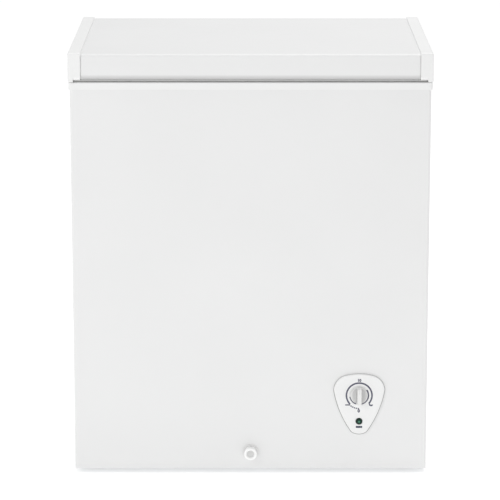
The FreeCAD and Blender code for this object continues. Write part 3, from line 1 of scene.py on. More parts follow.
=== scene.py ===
import json
import math

import bmesh
import bpy
from mathutils import Matrix, Vector
from mathutils.geometry import convex_hull_2d


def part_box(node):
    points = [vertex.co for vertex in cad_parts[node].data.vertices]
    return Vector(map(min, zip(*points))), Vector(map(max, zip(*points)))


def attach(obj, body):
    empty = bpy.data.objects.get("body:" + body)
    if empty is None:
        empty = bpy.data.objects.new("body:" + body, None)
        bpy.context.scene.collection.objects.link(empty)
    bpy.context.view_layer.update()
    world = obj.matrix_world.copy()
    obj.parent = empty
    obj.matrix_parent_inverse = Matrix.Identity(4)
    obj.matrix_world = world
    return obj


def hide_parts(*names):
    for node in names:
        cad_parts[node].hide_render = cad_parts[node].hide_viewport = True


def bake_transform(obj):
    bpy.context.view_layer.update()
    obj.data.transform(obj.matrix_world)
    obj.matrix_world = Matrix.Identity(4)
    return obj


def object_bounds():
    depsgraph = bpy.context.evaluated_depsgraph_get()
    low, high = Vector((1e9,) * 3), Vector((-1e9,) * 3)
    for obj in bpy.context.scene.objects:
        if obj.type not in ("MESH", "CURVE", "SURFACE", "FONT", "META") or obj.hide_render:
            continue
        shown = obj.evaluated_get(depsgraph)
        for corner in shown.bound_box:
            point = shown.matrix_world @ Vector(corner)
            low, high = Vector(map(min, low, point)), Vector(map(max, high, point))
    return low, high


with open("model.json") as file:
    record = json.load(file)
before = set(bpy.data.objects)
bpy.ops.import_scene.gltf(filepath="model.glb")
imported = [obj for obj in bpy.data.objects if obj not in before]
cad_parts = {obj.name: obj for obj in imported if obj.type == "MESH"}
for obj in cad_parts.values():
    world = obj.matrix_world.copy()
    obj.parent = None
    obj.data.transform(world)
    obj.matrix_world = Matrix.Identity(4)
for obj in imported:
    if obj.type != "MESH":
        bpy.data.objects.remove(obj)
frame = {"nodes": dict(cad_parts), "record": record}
cad_lowest, cad_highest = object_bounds()
nodes = frame["nodes"]
slot_of = {part["node"]: part["material_slot"] for part in frame["record"]["subparts"]}

MM = 0.001
SAME_POINT = 1e-7       # corners closer than this are one


# ------------------------------ finishes
class Finish:
    """A material under construction: one shader, with patterns laid on it in the piece's own space."""

    def __init__(self, name, colour, roughness, metallic=0.0, coat=0.0):
        self.material = bpy.data.materials.new(name)
        self.material.use_nodes = True
        self.tree = self.material.node_tree
        self.tree.nodes.clear()
        output = self.tree.nodes.new("ShaderNodeOutputMaterial")
        self.link = self.tree.links.new
        self.shader = self.tree.nodes.new("ShaderNodeBsdfPrincipled")
        self.link(self.shader.outputs["BSDF"], output.inputs["Surface"])
        self.shader.inputs["Base Color"].default_value = (*colour, 1.0)
        self.shader.inputs["Roughness"].default_value = roughness
        self.shader.inputs["Metallic"].default_value = metallic
        self.shader.inputs["Coat Weight"].default_value = coat
        self.place = self.tree.nodes.new("ShaderNodeTexCoord").outputs["Object"]

    def add(self, kind, **settings):
        node = self.tree.nodes.new(kind)
        for name, value in settings.items():
            setattr(node, name, value)
        return node

    def stretched(self, scale, offset=(0, 0, 0)):
        """The piece's own space, stretched and centred for a pattern."""
        mapping = self.add("ShaderNodeMapping")
        mapping.inputs["Location"].default_value = offset
        mapping.inputs["Scale"].default_value = scale
        self.link(self.place, mapping.inputs["Vector"])
        return mapping.outputs["Vector"]

    def noise(self, per_metre, detail, rough=0.5):
        node = self.add("ShaderNodeTexNoise")
        node.inputs["Scale"].default_value = per_metre
        node.inputs["Detail"].default_value = detail
        node.inputs["Roughness"].default_value = rough
        self.link(self.place, node.inputs["Vector"])
        return node.outputs["Fac"]

    def cells(self, per_metre, feature="F1", output="Distance", space=None):
        node = self.add("ShaderNodeTexVoronoi", feature=feature)
        node.inputs["Scale"].default_value = per_metre
        self.link(space or self.place, node.inputs["Vector"])
        return node.outputs[output]

    def ramp(self, source, *stops, smooth=False):
        node = self.add("ShaderNodeValToRGB")
        if smooth:
            node.color_ramp.interpolation = "EASE"
        elements = node.color_ramp.elements
        while len(elements) < len(stops):
            elements.new(0.5)
        for element, (position, colour) in zip(elements, stops):
            element.position = position
            value = colour if isinstance(colour, tuple) else (colour, colour, colour)
            element.color = (*value, 1.0)
        self.link(source, node.inputs["Fac"])
        return node.outputs["Color"]

    def paint(self, colour):
        self.link(colour, self.shader.inputs["Base Color"])
        return self

    def sheen_by(self, value):
        """Roughness that changes over the surface."""
        self.link(value, self.shader.inputs["Roughness"])
        return self

    def mottled(self, colour, per_metre, detail, dark, light, rough=0.5):
        """The colour, drifting between a darker and a lighter share of itself."""
        drift = self.noise(per_metre, detail, rough)
        return self.paint(self.ramp(drift, (0.3, near(colour, dark)), (0.7, near(colour, light))))

    def uneven_gloss(self, per_metre, detail, low, high):
        """Roughness drifting between two values."""
        return self.sheen_by(self.ramp(self.noise(per_metre, detail), (0.3, low), (0.7, high)))

    def relief(self, height, depth, strength):
        """Adds a bump over any bump already laid; depth is in metres."""
        bump = self.add("ShaderNodeBump")
        bump.inputs["Strength"].default_value = strength
        bump.inputs["Distance"].default_value = depth
        self.link(height, bump.inputs["Height"])
        normal = self.shader.inputs["Normal"]
        if normal.is_linked:
            self.link(normal.links[0].from_socket, bump.inputs["Normal"])
        self.link(bump.outputs["Normal"], normal)
        return self

    def multiplied(self, first, second):
        node = self.add("ShaderNodeMix", data_type="RGBA", blend_type="MULTIPLY")
        node.inputs["Factor"].default_value = 1.0
        self.link(first, node.inputs["A"])
        self.link(second, node.inputs["B"])
        return node.outputs["Result"]


def near(colour, amount):
    """The colour, darker below 1 and lighter above it."""
    return tuple(min(1.0, channel * amount) for channel in colour)


def baked_white_enamel(name="baked_white_enamel", painted_shade_heights=None):
    """Sprayed and baked white on steel sheet, with a faint orange peel.

    Given two heights, the colour is painted darker, down to grey, from the upper one to the sheet's turned
    edge: painted shade for the shadow where the sheet turns under.
    """
    white = (0.800, 0.802, 0.801)
    f = Finish(name, white, 0.34)
    coat = f.ramp(f.noise(5.0, 4.0), (0.3, near(white, 0.988)), (0.7, near(white, 1.006)))
    if painted_shade_heights:
        # painted shade: below the upper height the colour darkens to half at the turned edge
        split = f.add("ShaderNodeSeparateXYZ")
        f.link(f.place, split.inputs["Vector"])
        span = f.add("ShaderNodeMapRange")
        span.inputs["From Min"].default_value, span.inputs["From Max"].default_value = painted_shade_heights
        f.link(split.outputs["Z"], span.inputs["Value"])
        thin = f.ramp(span.outputs["Result"], (0.0, 0.50), (0.40, 0.68), (1.0, 1.0))
        coat = f.multiplied(coat, thin)
    f.paint(coat)
    f.uneven_gloss(60.0, 3.0, 0.31, 0.37)
    f.relief(f.noise(330.0, 1.5, 0.4), 0.00006, 0.35)
    f.relief(f.noise(14.0, 2.0), 0.0006, 0.10)
    return f.material


def moulded_white(name="moulded_white", white=(0.836, 0.838, 0.835), grain=1500.0):
    """White plastic from a lightly sparked mould."""
    f = Finish(name, white, 0.36)
    f.mottled(white, 9.0, 3.0, 0.988, 1.006)
    f.uneven_gloss(120.0, 3.0, 0.33, 0.40)
    f.relief(f.noise(grain, 2.0, 0.6), 0.00003, 0.45)
    return f.material


def galvanised_sheet():
    """Zinc-coated steel with its frosty spangle."""
    grey = (0.56, 0.575, 0.59)
    f = Finish("galvanised_sheet", grey, 0.42, metallic=0.75)
    flakes = f.cells(120.0, output="Color")
    tone = f.ramp(flakes, (0.1, near(grey, 0.93)), (0.5, grey), (0.9, near(grey, 1.06)))
    dust = f.ramp(f.noise(30.0, 5.0), (0.35, (0.93, 0.93, 0.92)), (0.7, (1.0, 1.0, 1.0)))
    f.paint(f.multiplied(tone, dust))
    f.sheen_by(f.ramp(flakes, (0.0, 0.34), (1.0, 0.52)))
    f.relief(f.cells(120.0), 0.00006, 0.35)
    return f.material


def embossed_aluminium():
    """The tub's stucco-embossed aluminium: small soft pebbles all over."""
    silver = (0.80, 0.81, 0.82)
    f = Finish("embossed_aluminium", silver, 0.36, metallic=0.85)
    f.mottled(silver, 12.0, 4.0, 0.93, 1.04)
    pebbles = f.cells(170.0, feature="SMOOTH_F1", space=f.stretched((1.0, 1.0, 0.8)))
    f.relief(f.ramp(pebbles, (0.1, 1.0), (0.75, 0.0), smooth=True), 0.0005, 0.8)
    f.relief(f.noise(900.0, 2.0), 0.00003, 0.4)
    f.uneven_gloss(80.0, 3.0, 0.30, 0.42)
    return f.material


def rigid_foam():
    """Poured polyurethane foam, cream coloured, with fine burst cells."""
    cream = (0.80, 0.70, 0.44)
    f = Finish("rigid_foam", cream, 0.9)
    f.mottled(cream, 45.0, 5.0, 0.82, 1.08)
    f.relief(f.cells(900.0), 0.0004, 0.7)
    f.relief(f.noise(70.0, 3.0), 0.0015, 0.3)
    return f.material


def drawn_tube(name, colour, roughness, metallic, stain):
    """Drawn metal tube, with handling stains and faint marks along it."""
    f = Finish(name, colour, roughness, metallic=metallic)
    f.paint(f.ramp(f.noise(38.0, 5.0, 0.6), (0.32, near(colour, 0.9)), (0.55, colour), (0.75, stain)))
    f.uneven_gloss(150.0, 4.0, roughness * 0.8, roughness * 1.3)
    f.relief(f.noise(500.0, 2.0), 0.00004, 0.4)
    return f.material


def dark_plastic():
    """Black injection-moulded plastic with a fine leather grain."""
    black = (0.032, 0.032, 0.035)
    f = Finish("dark_plastic", black, 0.55)
    f.paint(f.ramp(f.noise(25.0, 4.0), (0.3, near(black, 0.8)), (0.75, (0.045, 0.044, 0.044))))
    f.relief(f.cells(650.0, feature="SMOOTH_F1"), 0.00012, 0.5)
    f.uneven_gloss(200.0, 3.0, 0.48, 0.62)
    return f.material


def rubber(name, colour, bloom):
    """Moulded rubber with a dusty bloom."""
    f = Finish(name, colour, 0.72)
    f.paint(f.ramp(f.noise(60.0, 5.0, 0.6), (0.35, colour), (0.8, bloom)))
    f.uneven_gloss(140.0, 3.0, 0.64, 0.82)
    f.relief(f.noise(1100.0, 2.0), 0.00005, 0.5)
    return f.material


def zinc_plate():
    """Bright zinc plating, a little blue, with faint yellow patches."""
    zinc = (0.66, 0.675, 0.69)
    f = Finish("zinc_plate", zinc, 0.32, metallic=0.95)
    f.paint(f.ramp(f.noise(40.0, 4.0), (0.3, zinc), (0.55, (0.70, 0.70, 0.68)), (0.8, (0.68, 0.665, 0.60))))
    f.uneven_gloss(220.0, 4.0, 0.24, 0.42)
    f.relief(f.noise(700.0, 3.0), 0.00004, 0.5)
    return f.material


def spring_wire():
    """Oiled, oil-blackened spring wire with its draw lines."""
    grey = (0.17, 0.175, 0.18)
    f = Finish("spring_wire", grey, 0.35, metallic=0.9)
    f.mottled(grey, 90.0, 4.0, 0.75, 1.4)
    f.uneven_gloss(260.0, 2.0, 0.26, 0.46)
    return f.material


def compressor_enamel():
    """Thick black stoving enamel, glossy, with patches of dust."""
    black = (0.012, 0.012, 0.014)
    f = Finish("compressor_enamel", black, 0.22, coat=0.4)
    f.paint(f.ramp(f.noise(28.0, 5.0, 0.6), (0.4, black), (0.85, (0.05, 0.048, 0.045))))
    f.sheen_by(f.ramp(f.noise(45.0, 4.0), (0.35, 0.18), (0.75, 0.38)))
    f.relief(f.noise(260.0, 2.0, 0.4), 0.00015, 0.5)
    return f.material


def bare_iron(name, colour):
    """Dull grey iron with an uneven skin."""
    f = Finish(name, colour, 0.6, metallic=0.6)
    f.mottled(colour, 70.0, 5.0, 0.7, 1.3, rough=0.6)
    f.relief(f.noise(420.0, 3.0), 0.0001, 0.6)
    return f.material


def lamp_green(axis_x, axis_z):
    """The lamp's green lens: dark at its rim and paler over the lamp behind it."""
    lens_radius = 0.0075
    dark = (0.001, 0.040, 0.022)
    f = Finish("lamp_green", dark, 0.22)
    f.shader.inputs["Specular IOR Level"].default_value = 0.3
    space = f.stretched((1.0, 0.0, 1.0), offset=(-axis_x, 0.0, -axis_z))
    reach = f.add("ShaderNodeVectorMath", operation="LENGTH")
    f.link(space, reach.inputs[0])
    scaled = f.add("ShaderNodeMath", operation="MULTIPLY")
    scaled.inputs[1].default_value = 1 / lens_radius
    f.link(reach.outputs["Value"], scaled.inputs[0])
    f.paint(f.ramp(scaled.outputs["Value"], (0.0, (0.11, 0.32, 0.21)), (0.2, (0.035, 0.16, 0.10)),
                   (0.40, (0.001, 0.030, 0.017)), (1.0, (0.001, 0.012, 0.008)), smooth=True))
    f.relief(f.noise(400.0, 1.0), 0.00003, 0.3)
    return f.material


def coated_wire():
    """White dipped coating on the basket's wire: thick, glossy, a little uneven."""
    white = (0.84, 0.845, 0.84)
    f = Finish("coated_wire", white, 0.25)
    f.mottled(white, 30.0, 3.0, 0.96, 1.01)
    f.uneven_gloss(160.0, 3.0, 0.2, 0.34)
    f.relief(f.noise(240.0, 2.0), 0.0002, 0.5)
    return f.material


def pad_printed(name, colour):
    """Ink printed on plastic: matt, with a slightly ragged density."""
    f = Finish(name, colour, 0.5)
    f.paint(f.ramp(f.noise(900.0, 3.0), (0.3, near(colour, 0.92)), (0.75, near(colour, 1.15))))
    return f.material


def studio_floor():
    """White acrylic, lit through evenly from below."""
    f = Finish("studio_floor", (0.95, 0.95, 0.95), 0.85)
    f.paint(f.ramp(f.noise(0.8, 2.0), (0.3, 0.945), (0.7, 0.955)))
    f.shader.inputs["Emission Color"].default_value = (1.0, 1.0, 1.0, 1.0)
    f.shader.inputs["Emission Strength"].default_value = FLOOR_GLOW
    return f.material


# ------------------------------ making meshes
def put(name, mesh, body, material=None, replaces=(), smooth=True, crease=40.0):
    """Puts a finished mesh in the scene as a piece that rides on a body."""
    if material is not None:
        mesh.materials.clear()
        mesh.materials.append(material)
    if smooth:
        mesh.shade_smooth()
        mesh.set_sharp_from_angle(angle=math.radians(crease))
    piece = bpy.data.objects.new(name, mesh)
    bpy.context.scene.collection.objects.link(piece)
    if body is not None:
        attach(piece, body)
    if replaces:
        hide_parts(*replaces)
    return piece


def mesh_from(name, points, faces):
    """A mesh with no doubled corners and every face outwards."""
    mesh = bpy.data.meshes.new(name)
    mesh.from_pydata([tuple(p) for p in points], [], faces)
    shape = bmesh.new()
    shape.from_mesh(mesh)
    bmesh.ops.remove_doubles(shape, verts=shape.verts, dist=SAME_POINT)
    bmesh.ops.recalc_face_normals(shape, faces=shape.faces)
    shape.to_mesh(mesh)
    shape.free()
    mesh.update()
    return mesh


def ring_faces(stations, count):
    """The faces between closed sections of count points each, set round a closed path."""
    faces = []
    for k in range(stations):
        after = (k + 1) % stations
        for i in range(count):
            j = (i + 1) % count
            faces.append((k * count + i, after * count + i, after * count + j, k * count + j))
    return faces


def slab_faces(count):
    """Both ends, and the sides between them, of two like rings of count points."""
    faces = [list(range(count)), list(range(2 * count - 1, count - 1, -1))]
    faces += [(i, (i + 1) % count, count + (i + 1) % count, count + i) for i in range(count)]
    return faces


def joined(name, meshes):
    """Several plain meshes as one."""
    shape = bmesh.new()
    for part in meshes:
        shape.from_mesh(part)
    whole = bpy.data.meshes.new(name)
    shape.to_mesh(whole)
    shape.free()
    return whole


def turned(name, outline, centre, axis, steps):
    """A closed outline of (radius, distance along the axis) spun about an axis through a point."""
    u = Vector((0, 0, 1)) if abs(axis[2]) < 0.5 else Vector((1, 0, 0))
    along = Vector(axis)
    v = along.cross(u)
    points = []
    for k in range(steps):
        angle = 2 * math.pi * k / steps
        out = u * math.cos(angle) + v * math.sin(angle)
        points += [Vector(centre) + out * radius + along * distance for radius, distance in outline]
    return mesh_from(name, points, ring_faces(steps, len(outline)))


def rounded(outline, radius, steps):
    """A closed outline with its corners rounded: each entry is (a, b) or (a, b, own radius)."""
    result = []
    count = len(outline)
    for i in range(count):
        before, here, after = outline[i - 1], outline[i], outline[(i + 1) % count]
        p, q, s = Vector(before[:2]), Vector(here[:2]), Vector(after[:2])
        r = here[2] if len(here) > 2 else radius
        into, out = p - q, s - q
        longest = min(into.length, out.length) * 0.45
        if r <= 0 or into.length < 1e-9 or out.length < 1e-9:
            result.append(tuple(q))
            continue
        half = into.angle(out) / 2
        set_back = min(r / math.tan(half), longest) if half > 0.02 else 0.0
        a, b = q + into.normalized() * set_back, q + out.normalized() * set_back
        for k in range(steps + 1):
            t = k / steps
            result.append(tuple((1 - t) ** 2 * a + 2 * t * (1 - t) * q + t ** 2 * b))
    return result


def prism(name, outline, x0, x1):
    """A closed outline of (y, z) carried along X."""
    points = [(x, y, z) for x in (x0, x1) for y, z in outline]
    return mesh_from(name, points, slab_faces(len(outline)))


def rounded_rectangle(half_x, half_y, radius, steps):
    """Points and outward directions round a rectangle, anticlockwise."""
    stations = []
    for corner, (sx, sy) in enumerate(((1, 1), (-1, 1), (-1, -1), (1, -1))):
        cx, cy = sx * (half_x - radius), sy * (half_y - radius)
        for k in range(steps + 1):
            angle = math.pi / 2 * (corner + k / steps)
            out = Vector((math.cos(angle), math.sin(angle)))
            stations.append((Vector((cx, cy)) + out * radius, out))
    return stations


def swept_ring(name, stations, profile):
    """A closed profile of (outward offset, height) carried round a level closed path."""
    points = [(place.x + out.x * offset, place.y + out.y * offset, height)
              for place, out in stations for offset, height in profile]
    return mesh_from(name, points, ring_faces(len(stations), len(profile)))


# ------------------------------ what repeats or follows a path
def tree_with(name, sockets):
    """An empty geometry tree with named inputs. Gives it, its input node and its inputs' identifiers."""
    tree = bpy.data.node_groups.new(name, "GeometryNodeTree")
    tree.interface.new_socket("Geometry", in_out="INPUT", socket_type="NodeSocketGeometry")
    tree.interface.new_socket("Geometry", in_out="OUTPUT", socket_type="NodeSocketGeometry")
    names = {}
    for label, kind in sockets:
        names[label] = tree.interface.new_socket(label, in_out="INPUT", socket_type=kind).identifier
    return tree, tree.nodes.new("NodeGroupInput"), names


def join(source, output, target, entry):
    """Joins one node's named output to another's named input."""
    source.id_data.links.new(source.outputs[output], target.inputs[entry])


def finish_tree(tree, source, inlet):
    """Realises the geometry, gives it its material and sends it out."""
    real = tree.nodes.new("GeometryNodeRealizeInstances")
    coat = tree.nodes.new("GeometryNodeSetMaterial")
    out = tree.nodes.new("NodeGroupOutput")
    tree.links.new(source, real.inputs["Geometry"])
    join(real, "Geometry", coat, "Geometry")
    join(inlet, "Finish", coat, "Material")
    join(coat, "Geometry", out, "Geometry")


def wire_tree():
    """Bent round wire: each run of edges becomes one wire, its corners bent to a radius."""
    tree, inlet, names = tree_with("bent_wire", [
        ("Wire radius", "NodeSocketFloat"), ("Bend radius", "NodeSocketFloat"), ("Sides", "NodeSocketInt"),
        ("Finish", "NodeSocketMaterial")])
    new = tree.nodes.new
    runs = new("GeometryNodeMeshToCurve")
    bend = new("GeometryNodeFilletCurve")
    bend.mode = "POLY"
    bend.inputs["Count"].default_value = 5
    bend.inputs["Limit Radius"].default_value = True
    section = new("GeometryNodeCurvePrimitiveCircle")
    wire = new("GeometryNodeCurveToMesh")
    wire.inputs["Fill Caps"].default_value = True
    join(inlet, "Geometry", runs, "Mesh")
    join(runs, "Curve", bend, "Curve")
    join(inlet, "Bend radius", bend, "Radius")
    join(inlet, "Sides", section, "Resolution")
    join(inlet, "Wire radius", section, "Radius")
    join(bend, "Curve", wire, "Curve")
    join(section, "Curve", wire, "Profile Curve")
    finish_tree(tree, wire.outputs["Mesh"], inlet)
    return tree, names


def coil_tree():
    """A coil spring: even turns of round wire between two heights, closed flat at both ends."""
    tree, inlet, names = tree_with("coil_spring", [
        ("Turns", "NodeSocketFloat"), ("Coil radius", "NodeSocketFloat"), ("Height", "NodeSocketFloat"),
        ("Wire radius", "NodeSocketFloat"), ("Base", "NodeSocketVector"), ("Finish", "NodeSocketMaterial")])
    new = tree.nodes.new
    helix = new("GeometryNodeCurveSpiral")
    helix.inputs["Resolution"].default_value = 24
    section = new("GeometryNodeCurvePrimitiveCircle")
    section.inputs["Resolution"].default_value = 10
    wire = new("GeometryNodeCurveToMesh")
    wire.inputs["Fill Caps"].default_value = True
    seat = new("GeometryNodeTransform")
    join(inlet, "Turns", helix, "Rotations")
    join(inlet, "Coil radius", helix, "Start Radius")
    join(inlet, "Coil radius", helix, "End Radius")
    join(inlet, "Height", helix, "Height")
    join(inlet, "Wire radius", section, "Radius")
    join(helix, "Curve", wire, "Curve")
    join(section, "Curve", wire, "Profile Curve")
    join(wire, "Mesh", seat, "Geometry")
    join(inlet, "Base", seat, "Translation")
    finish_tree(tree, seat.outputs["Geometry"], inlet)
    return tree, names


def repeat_tree():
    """One shape repeated at every point of a mesh, all turned the same way."""
    tree, inlet, names = tree_with("repeated_piece", [
        ("Shape", "NodeSocketObject"), ("Turn", "NodeSocketRotation"), ("Finish", "NodeSocketMaterial")])
    new = tree.nodes.new
    shape = new("GeometryNodeObjectInfo")
    spread = new("GeometryNodeInstanceOnPoints")
    join(inlet, "Shape", shape, "Object")
    join(inlet, "Geometry", spread, "Points")
    join(shape, "Geometry", spread, "Instance")
    join(inlet, "Turn", spread, "Rotation")
    finish_tree(tree, spread.outputs["Instances"], inlet)
    return tree, names


def grown(name, base, tree, settings):
    """Runs a tree on a base mesh and returns the plain mesh it makes."""
    group, names = tree
    holder = bpy.data.objects.new(name + "_base", base)
    bpy.context.scene.collection.objects.link(holder)
    modifier = holder.modifiers.new("tree", "NODES")
    modifier.node_group = group
    for label, value in settings.items():
        modifier[names[label]] = value
    bpy.context.view_layer.update()
    graph = bpy.context.evaluated_depsgraph_get()
    made = bpy.data.meshes.new_from_object(holder.evaluated_get(graph))
    made.name = name
    holder.modifiers.remove(modifier)
    bpy.data.objects.remove(holder)
    return made


def runs_mesh(name, runs):
    """Bare edges: one chain of edges for each run of points; a run that ends where it starts is closed."""
    points, edges = [], []
    for run in runs:
        first = len(points)
        closed = (Vector(run[0]) - Vector(run[-1])).length < 1e-9
        kept = run[:-1] if closed else run
        points += [tuple(p) for p in kept]
        edges += [(first + k, first + k + 1) for k in range(len(kept) - 1)]
        if closed:
            edges.append((first + len(kept) - 1, first))
    mesh = bpy.data.meshes.new(name)
    mesh.from_pydata(points, edges, [])
    return mesh


def pan_head_screw(name, head_r, head_h, shank_r, shank_l):
    """A domed screw, head up +Z, seated at its origin; part of its crown is lowered for a cross recess."""
    rings, steps = 10, 48
    rim = 0.35
    arm, half = head_r * 0.6, head_r * 0.17
    outline = [(head_r, 0.0), (head_r, head_h * rim)]
    for k in range(1, rings + 1):
        a = math.pi / 2 * k / rings
        outline.append((head_r * math.cos(a) if k < rings else 0.0, head_h * (rim + (1 - rim) * math.sin(a))))
    points, faces = [], []
    for k in range(steps):
        angle = 2 * math.pi * k / steps
        c, s = math.cos(angle), math.sin(angle)
        for radius, height in outline:
            x, y = abs(radius * c), abs(radius * s)
            in_cross = (x < half and y < arm) or (y < half and x < arm)
            drop = head_h * 0.55 if in_cross and height > head_h * 0.5 else 0.0
            points.append((radius * c, radius * s, height - drop))
        points += [(shank_r * c, shank_r * s, 0.0), (shank_r * c, shank_r * s, -shank_l)]
    top, low, count = len(outline), len(outline) + 1, len(outline) + 2
    for k in range(steps):
        here, after = k * count, (k + 1) % steps * count
        faces += [(here + i, after + i, after + i + 1, here + i + 1) for i in range(top - 1)]
        faces.append((here, here + top, after + top, after))
        faces.append((here + top, here + low, after + low, after + top))
    faces.append([k * count + low for k in range(steps)])
    return bpy.data.objects.new(name, mesh_from(name, points, faces))


# ------------------------------ studio
FLOOR_GLOW = 0.41
WORLD_LIGHT = 0.64
CAMERA_PLACE = (-0.0011, -5.462, 1.6563)
CAMERA_DIP = 12.88      # degrees below level
CAMERA_LENS = 192.09    # millimetres
SENSOR_WIDTH = 36.0     # millimetres


def soft_lamp(name, place, aim, size, power):
    light = bpy.data.lights.new(name, "AREA")
    light.shape = "RECTANGLE"
    light.size, light.size_y = size
    light.energy = power
    lamp = bpy.data.objects.new(name, light)
    lamp.location = place
    lamp.rotation_euler = (Vector(aim) - Vector(place)).to_track_quat("-Z", "Y").to_euler()
    bpy.context.scene.collection.objects.link(lamp)


def studio():
    """Pale floor, even white surroundings, a soft key light from the left and one overhead."""
    scene = bpy.context.scene
    floor_mesh = bpy.data.meshes.new("studio_floor")
    edge = 30.0
    corners = [(-edge, -edge, 0), (edge, -edge, 0), (edge, edge, 0), (-edge, edge, 0)]
    floor_mesh.from_pydata(corners, [], [(0, 1, 2, 3)])
    floor = put("studio_floor", floor_mesh, None, studio_floor(), smooth=False)
    world = bpy.data.worlds.new("studio")
    world.use_nodes = True
    sky = world.node_tree.nodes["Background"]
    sky.inputs["Color"].default_value = (1.0, 1.0, 1.0, 1.0)
    sky.inputs["Strength"].default_value = WORLD_LIGHT
    scene.world = world
    middle = (Vector(cad_lowest) + Vector(cad_highest)) / 2
    soft_lamp("key_left", (-2.7, -3.0, 2.5), middle, (1.3, 1.3), 26.0)
    soft_lamp("overhead", (0.5, 0.2, 3.2), (0.1, 0.0, 0.8), (2.2, 2.2), 34.0)
    scene.view_settings.view_transform = "Standard"
    scene.view_settings.look = "None"
    camera_data = bpy.data.cameras.new("camera")
    camera_data.lens = CAMERA_LENS
    camera_data.sensor_width = SENSOR_WIDTH
    camera = bpy.data.objects.new("camera", camera_data)
    camera.location = CAMERA_PLACE
    camera.rotation_euler = (math.radians(90.0 - CAMERA_DIP), 0.0, 0.0)
    scene.collection.objects.link(camera)
    scene.camera = camera


# ------------------------------ control panel
def panel_places():
    """The middles of the knob and the lamp, and the panel's face, from the CAD pieces."""
    knob_low, knob_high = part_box("thermostat_knob")
    lens_low, lens_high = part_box("indicator_lens")
    knob = ((knob_low.x + knob_high.x) / 2, (knob_low.z + knob_high.z) / 2)
    lens = ((lens_low.x + lens_high.x) / 2, (lens_low.z + lens_high.z) / 2)
    return knob, lens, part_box("control_bezel")[0].y


INK_BACK = 0.00001      # how far a print's back lies inside the face it is on
INK_THICK = 0.00008


def flat_band(name, centre, y, radius_in, radius_out, start, stop, steps=64):
    """A thin printed arc on the panel's face; angles in degrees, anticlockwise from the right."""
    points, faces = [], []
    for k in range(steps + 1):
        a = math.radians(start + (stop - start) * k / steps)
        for radius in (radius_in, radius_out):
            x, z = centre[0] + radius * math.cos(a), centre[1] + radius * math.sin(a)
            points += [(x, y + INK_BACK, z), (x, y + INK_BACK - INK_THICK, z)]
    for k in range(steps):
        a, b = k * 4, k * 4 + 4
        faces += [(a + 1, a + 3, b + 3, b + 1), (a, b, b + 2, a + 2),
                  (a, a + 1, b + 1, b), (a + 2, b + 2, b + 3, a + 3)]
    faces += [(0, 2, 3, 1), (steps * 4, steps * 4 + 1, steps * 4 + 3, steps * 4 + 2)]
    return mesh_from(name, points, faces)


def flat_bar(name, centre, y, width, height):
    """A small printed bar with softened corners."""
    w, h = width / 2, height / 2
    ring = rounded([(-w, -h), (w, -h), (w, h), (-w, h)], min(width, height) * 0.3, 3)
    points = [(centre[0] + a, y + INK_BACK - depth, centre[1] + b)
              for depth in (0.0, INK_THICK) for a, b in ring]
    return mesh_from(name, points, slab_faces(len(ring)))


def numeral(text, centre, y, size):
    """A printed figure on the panel, as a plain mesh."""
    curve = bpy.data.curves.new("figure", "FONT")
    curve.body = text
    curve.size = size
    curve.align_x = "CENTER"
    curve.align_y = "CENTER"
    curve.extrude = INK_THICK / 2
    curve.resolution_u = 3
    curve.offset = size * 0.065
    holder = bpy.data.objects.new("figure", curve)
    bpy.context.scene.collection.objects.link(holder)
    bpy.context.view_layer.update()
    mesh = bpy.data.meshes.new_from_object(holder.evaluated_get(bpy.context.evaluated_depsgraph_get()))
    bpy.data.objects.remove(holder)
    middle = (centre[0], y + INK_BACK - INK_THICK / 2, centre[1])
    mesh.transform(Matrix.Translation(middle) @ Matrix.Rotation(math.pi / 2, 4, "X"))
    return mesh


def dial_scale():
    """The print round the knob: a bold arc with hooked feet, a dashed run, figures, and the lamp's mark; and
    two dark arcs in the knob's well, which are painted shadow.
    """
    knob, lens, face = panel_places()
    slate_ink_and_shadow = pad_printed("slate_ink_and_painted_shadow", (0.075, 0.076, 0.120))
    navy = pad_printed("navy_ink", (0.006, 0.018, 0.055))

    def at(x, z):
        return knob[0] + x * MM, knob[1] + z * MM

    marks = [flat_band("arc", knob, face, 24.3 * MM, 27.5 * MM, -41.0, 225.0)]
    marks.append(flat_band("hook", at(24.0, -18.4), face, 1.5 * MM, 4.4 * MM, 165.0, 345.0, 24))
    marks.append(flat_bar("foot", at(-23.3, -20.0), face, 10.2 * MM, 2.4 * MM))
    for k in range(5):
        start = 231.0 + k * 8.2
        marks.append(flat_band("dash", knob, face, 26.4 * MM, 29.0 * MM, start, start + 5.8, 6))
    for text, x, z, size in (("10", 0.0, 31.2, 7.6), ("0", -0.8, -32.8, 8.8)):
        marks.append(numeral(text, at(x, z), face, size * MM))
    put("dial_scale", joined("dial_scale", marks), "cabinet", slate_ink_and_shadow, smooth=False)
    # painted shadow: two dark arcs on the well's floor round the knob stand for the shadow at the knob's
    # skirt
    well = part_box("thermostat_knob")[1].y + 0.0004
    rings = [flat_band("shadow_arc_right", knob, well, 17.5 * MM, 20.1 * MM, -74.0, 36.0),
             flat_band("shadow_arc_left", knob, well, 18.1 * MM, 20.1 * MM, 190.0, 251.0)]
    put("knob_ring", joined("knob_ring", rings), "cabinet", slate_ink_and_shadow, smooth=False)
    bars = [flat_bar("bar", (lens[0] + x * MM, lens[1] - 11.9 * MM), face, w * MM, 4.1 * MM)
            for x, w in ((-4.2, 4.2), (0.3, 5.0), (4.7, 3.8))]
    put("lamp_mark", joined("lamp_mark", bars), "cabinet", navy, smooth=False)


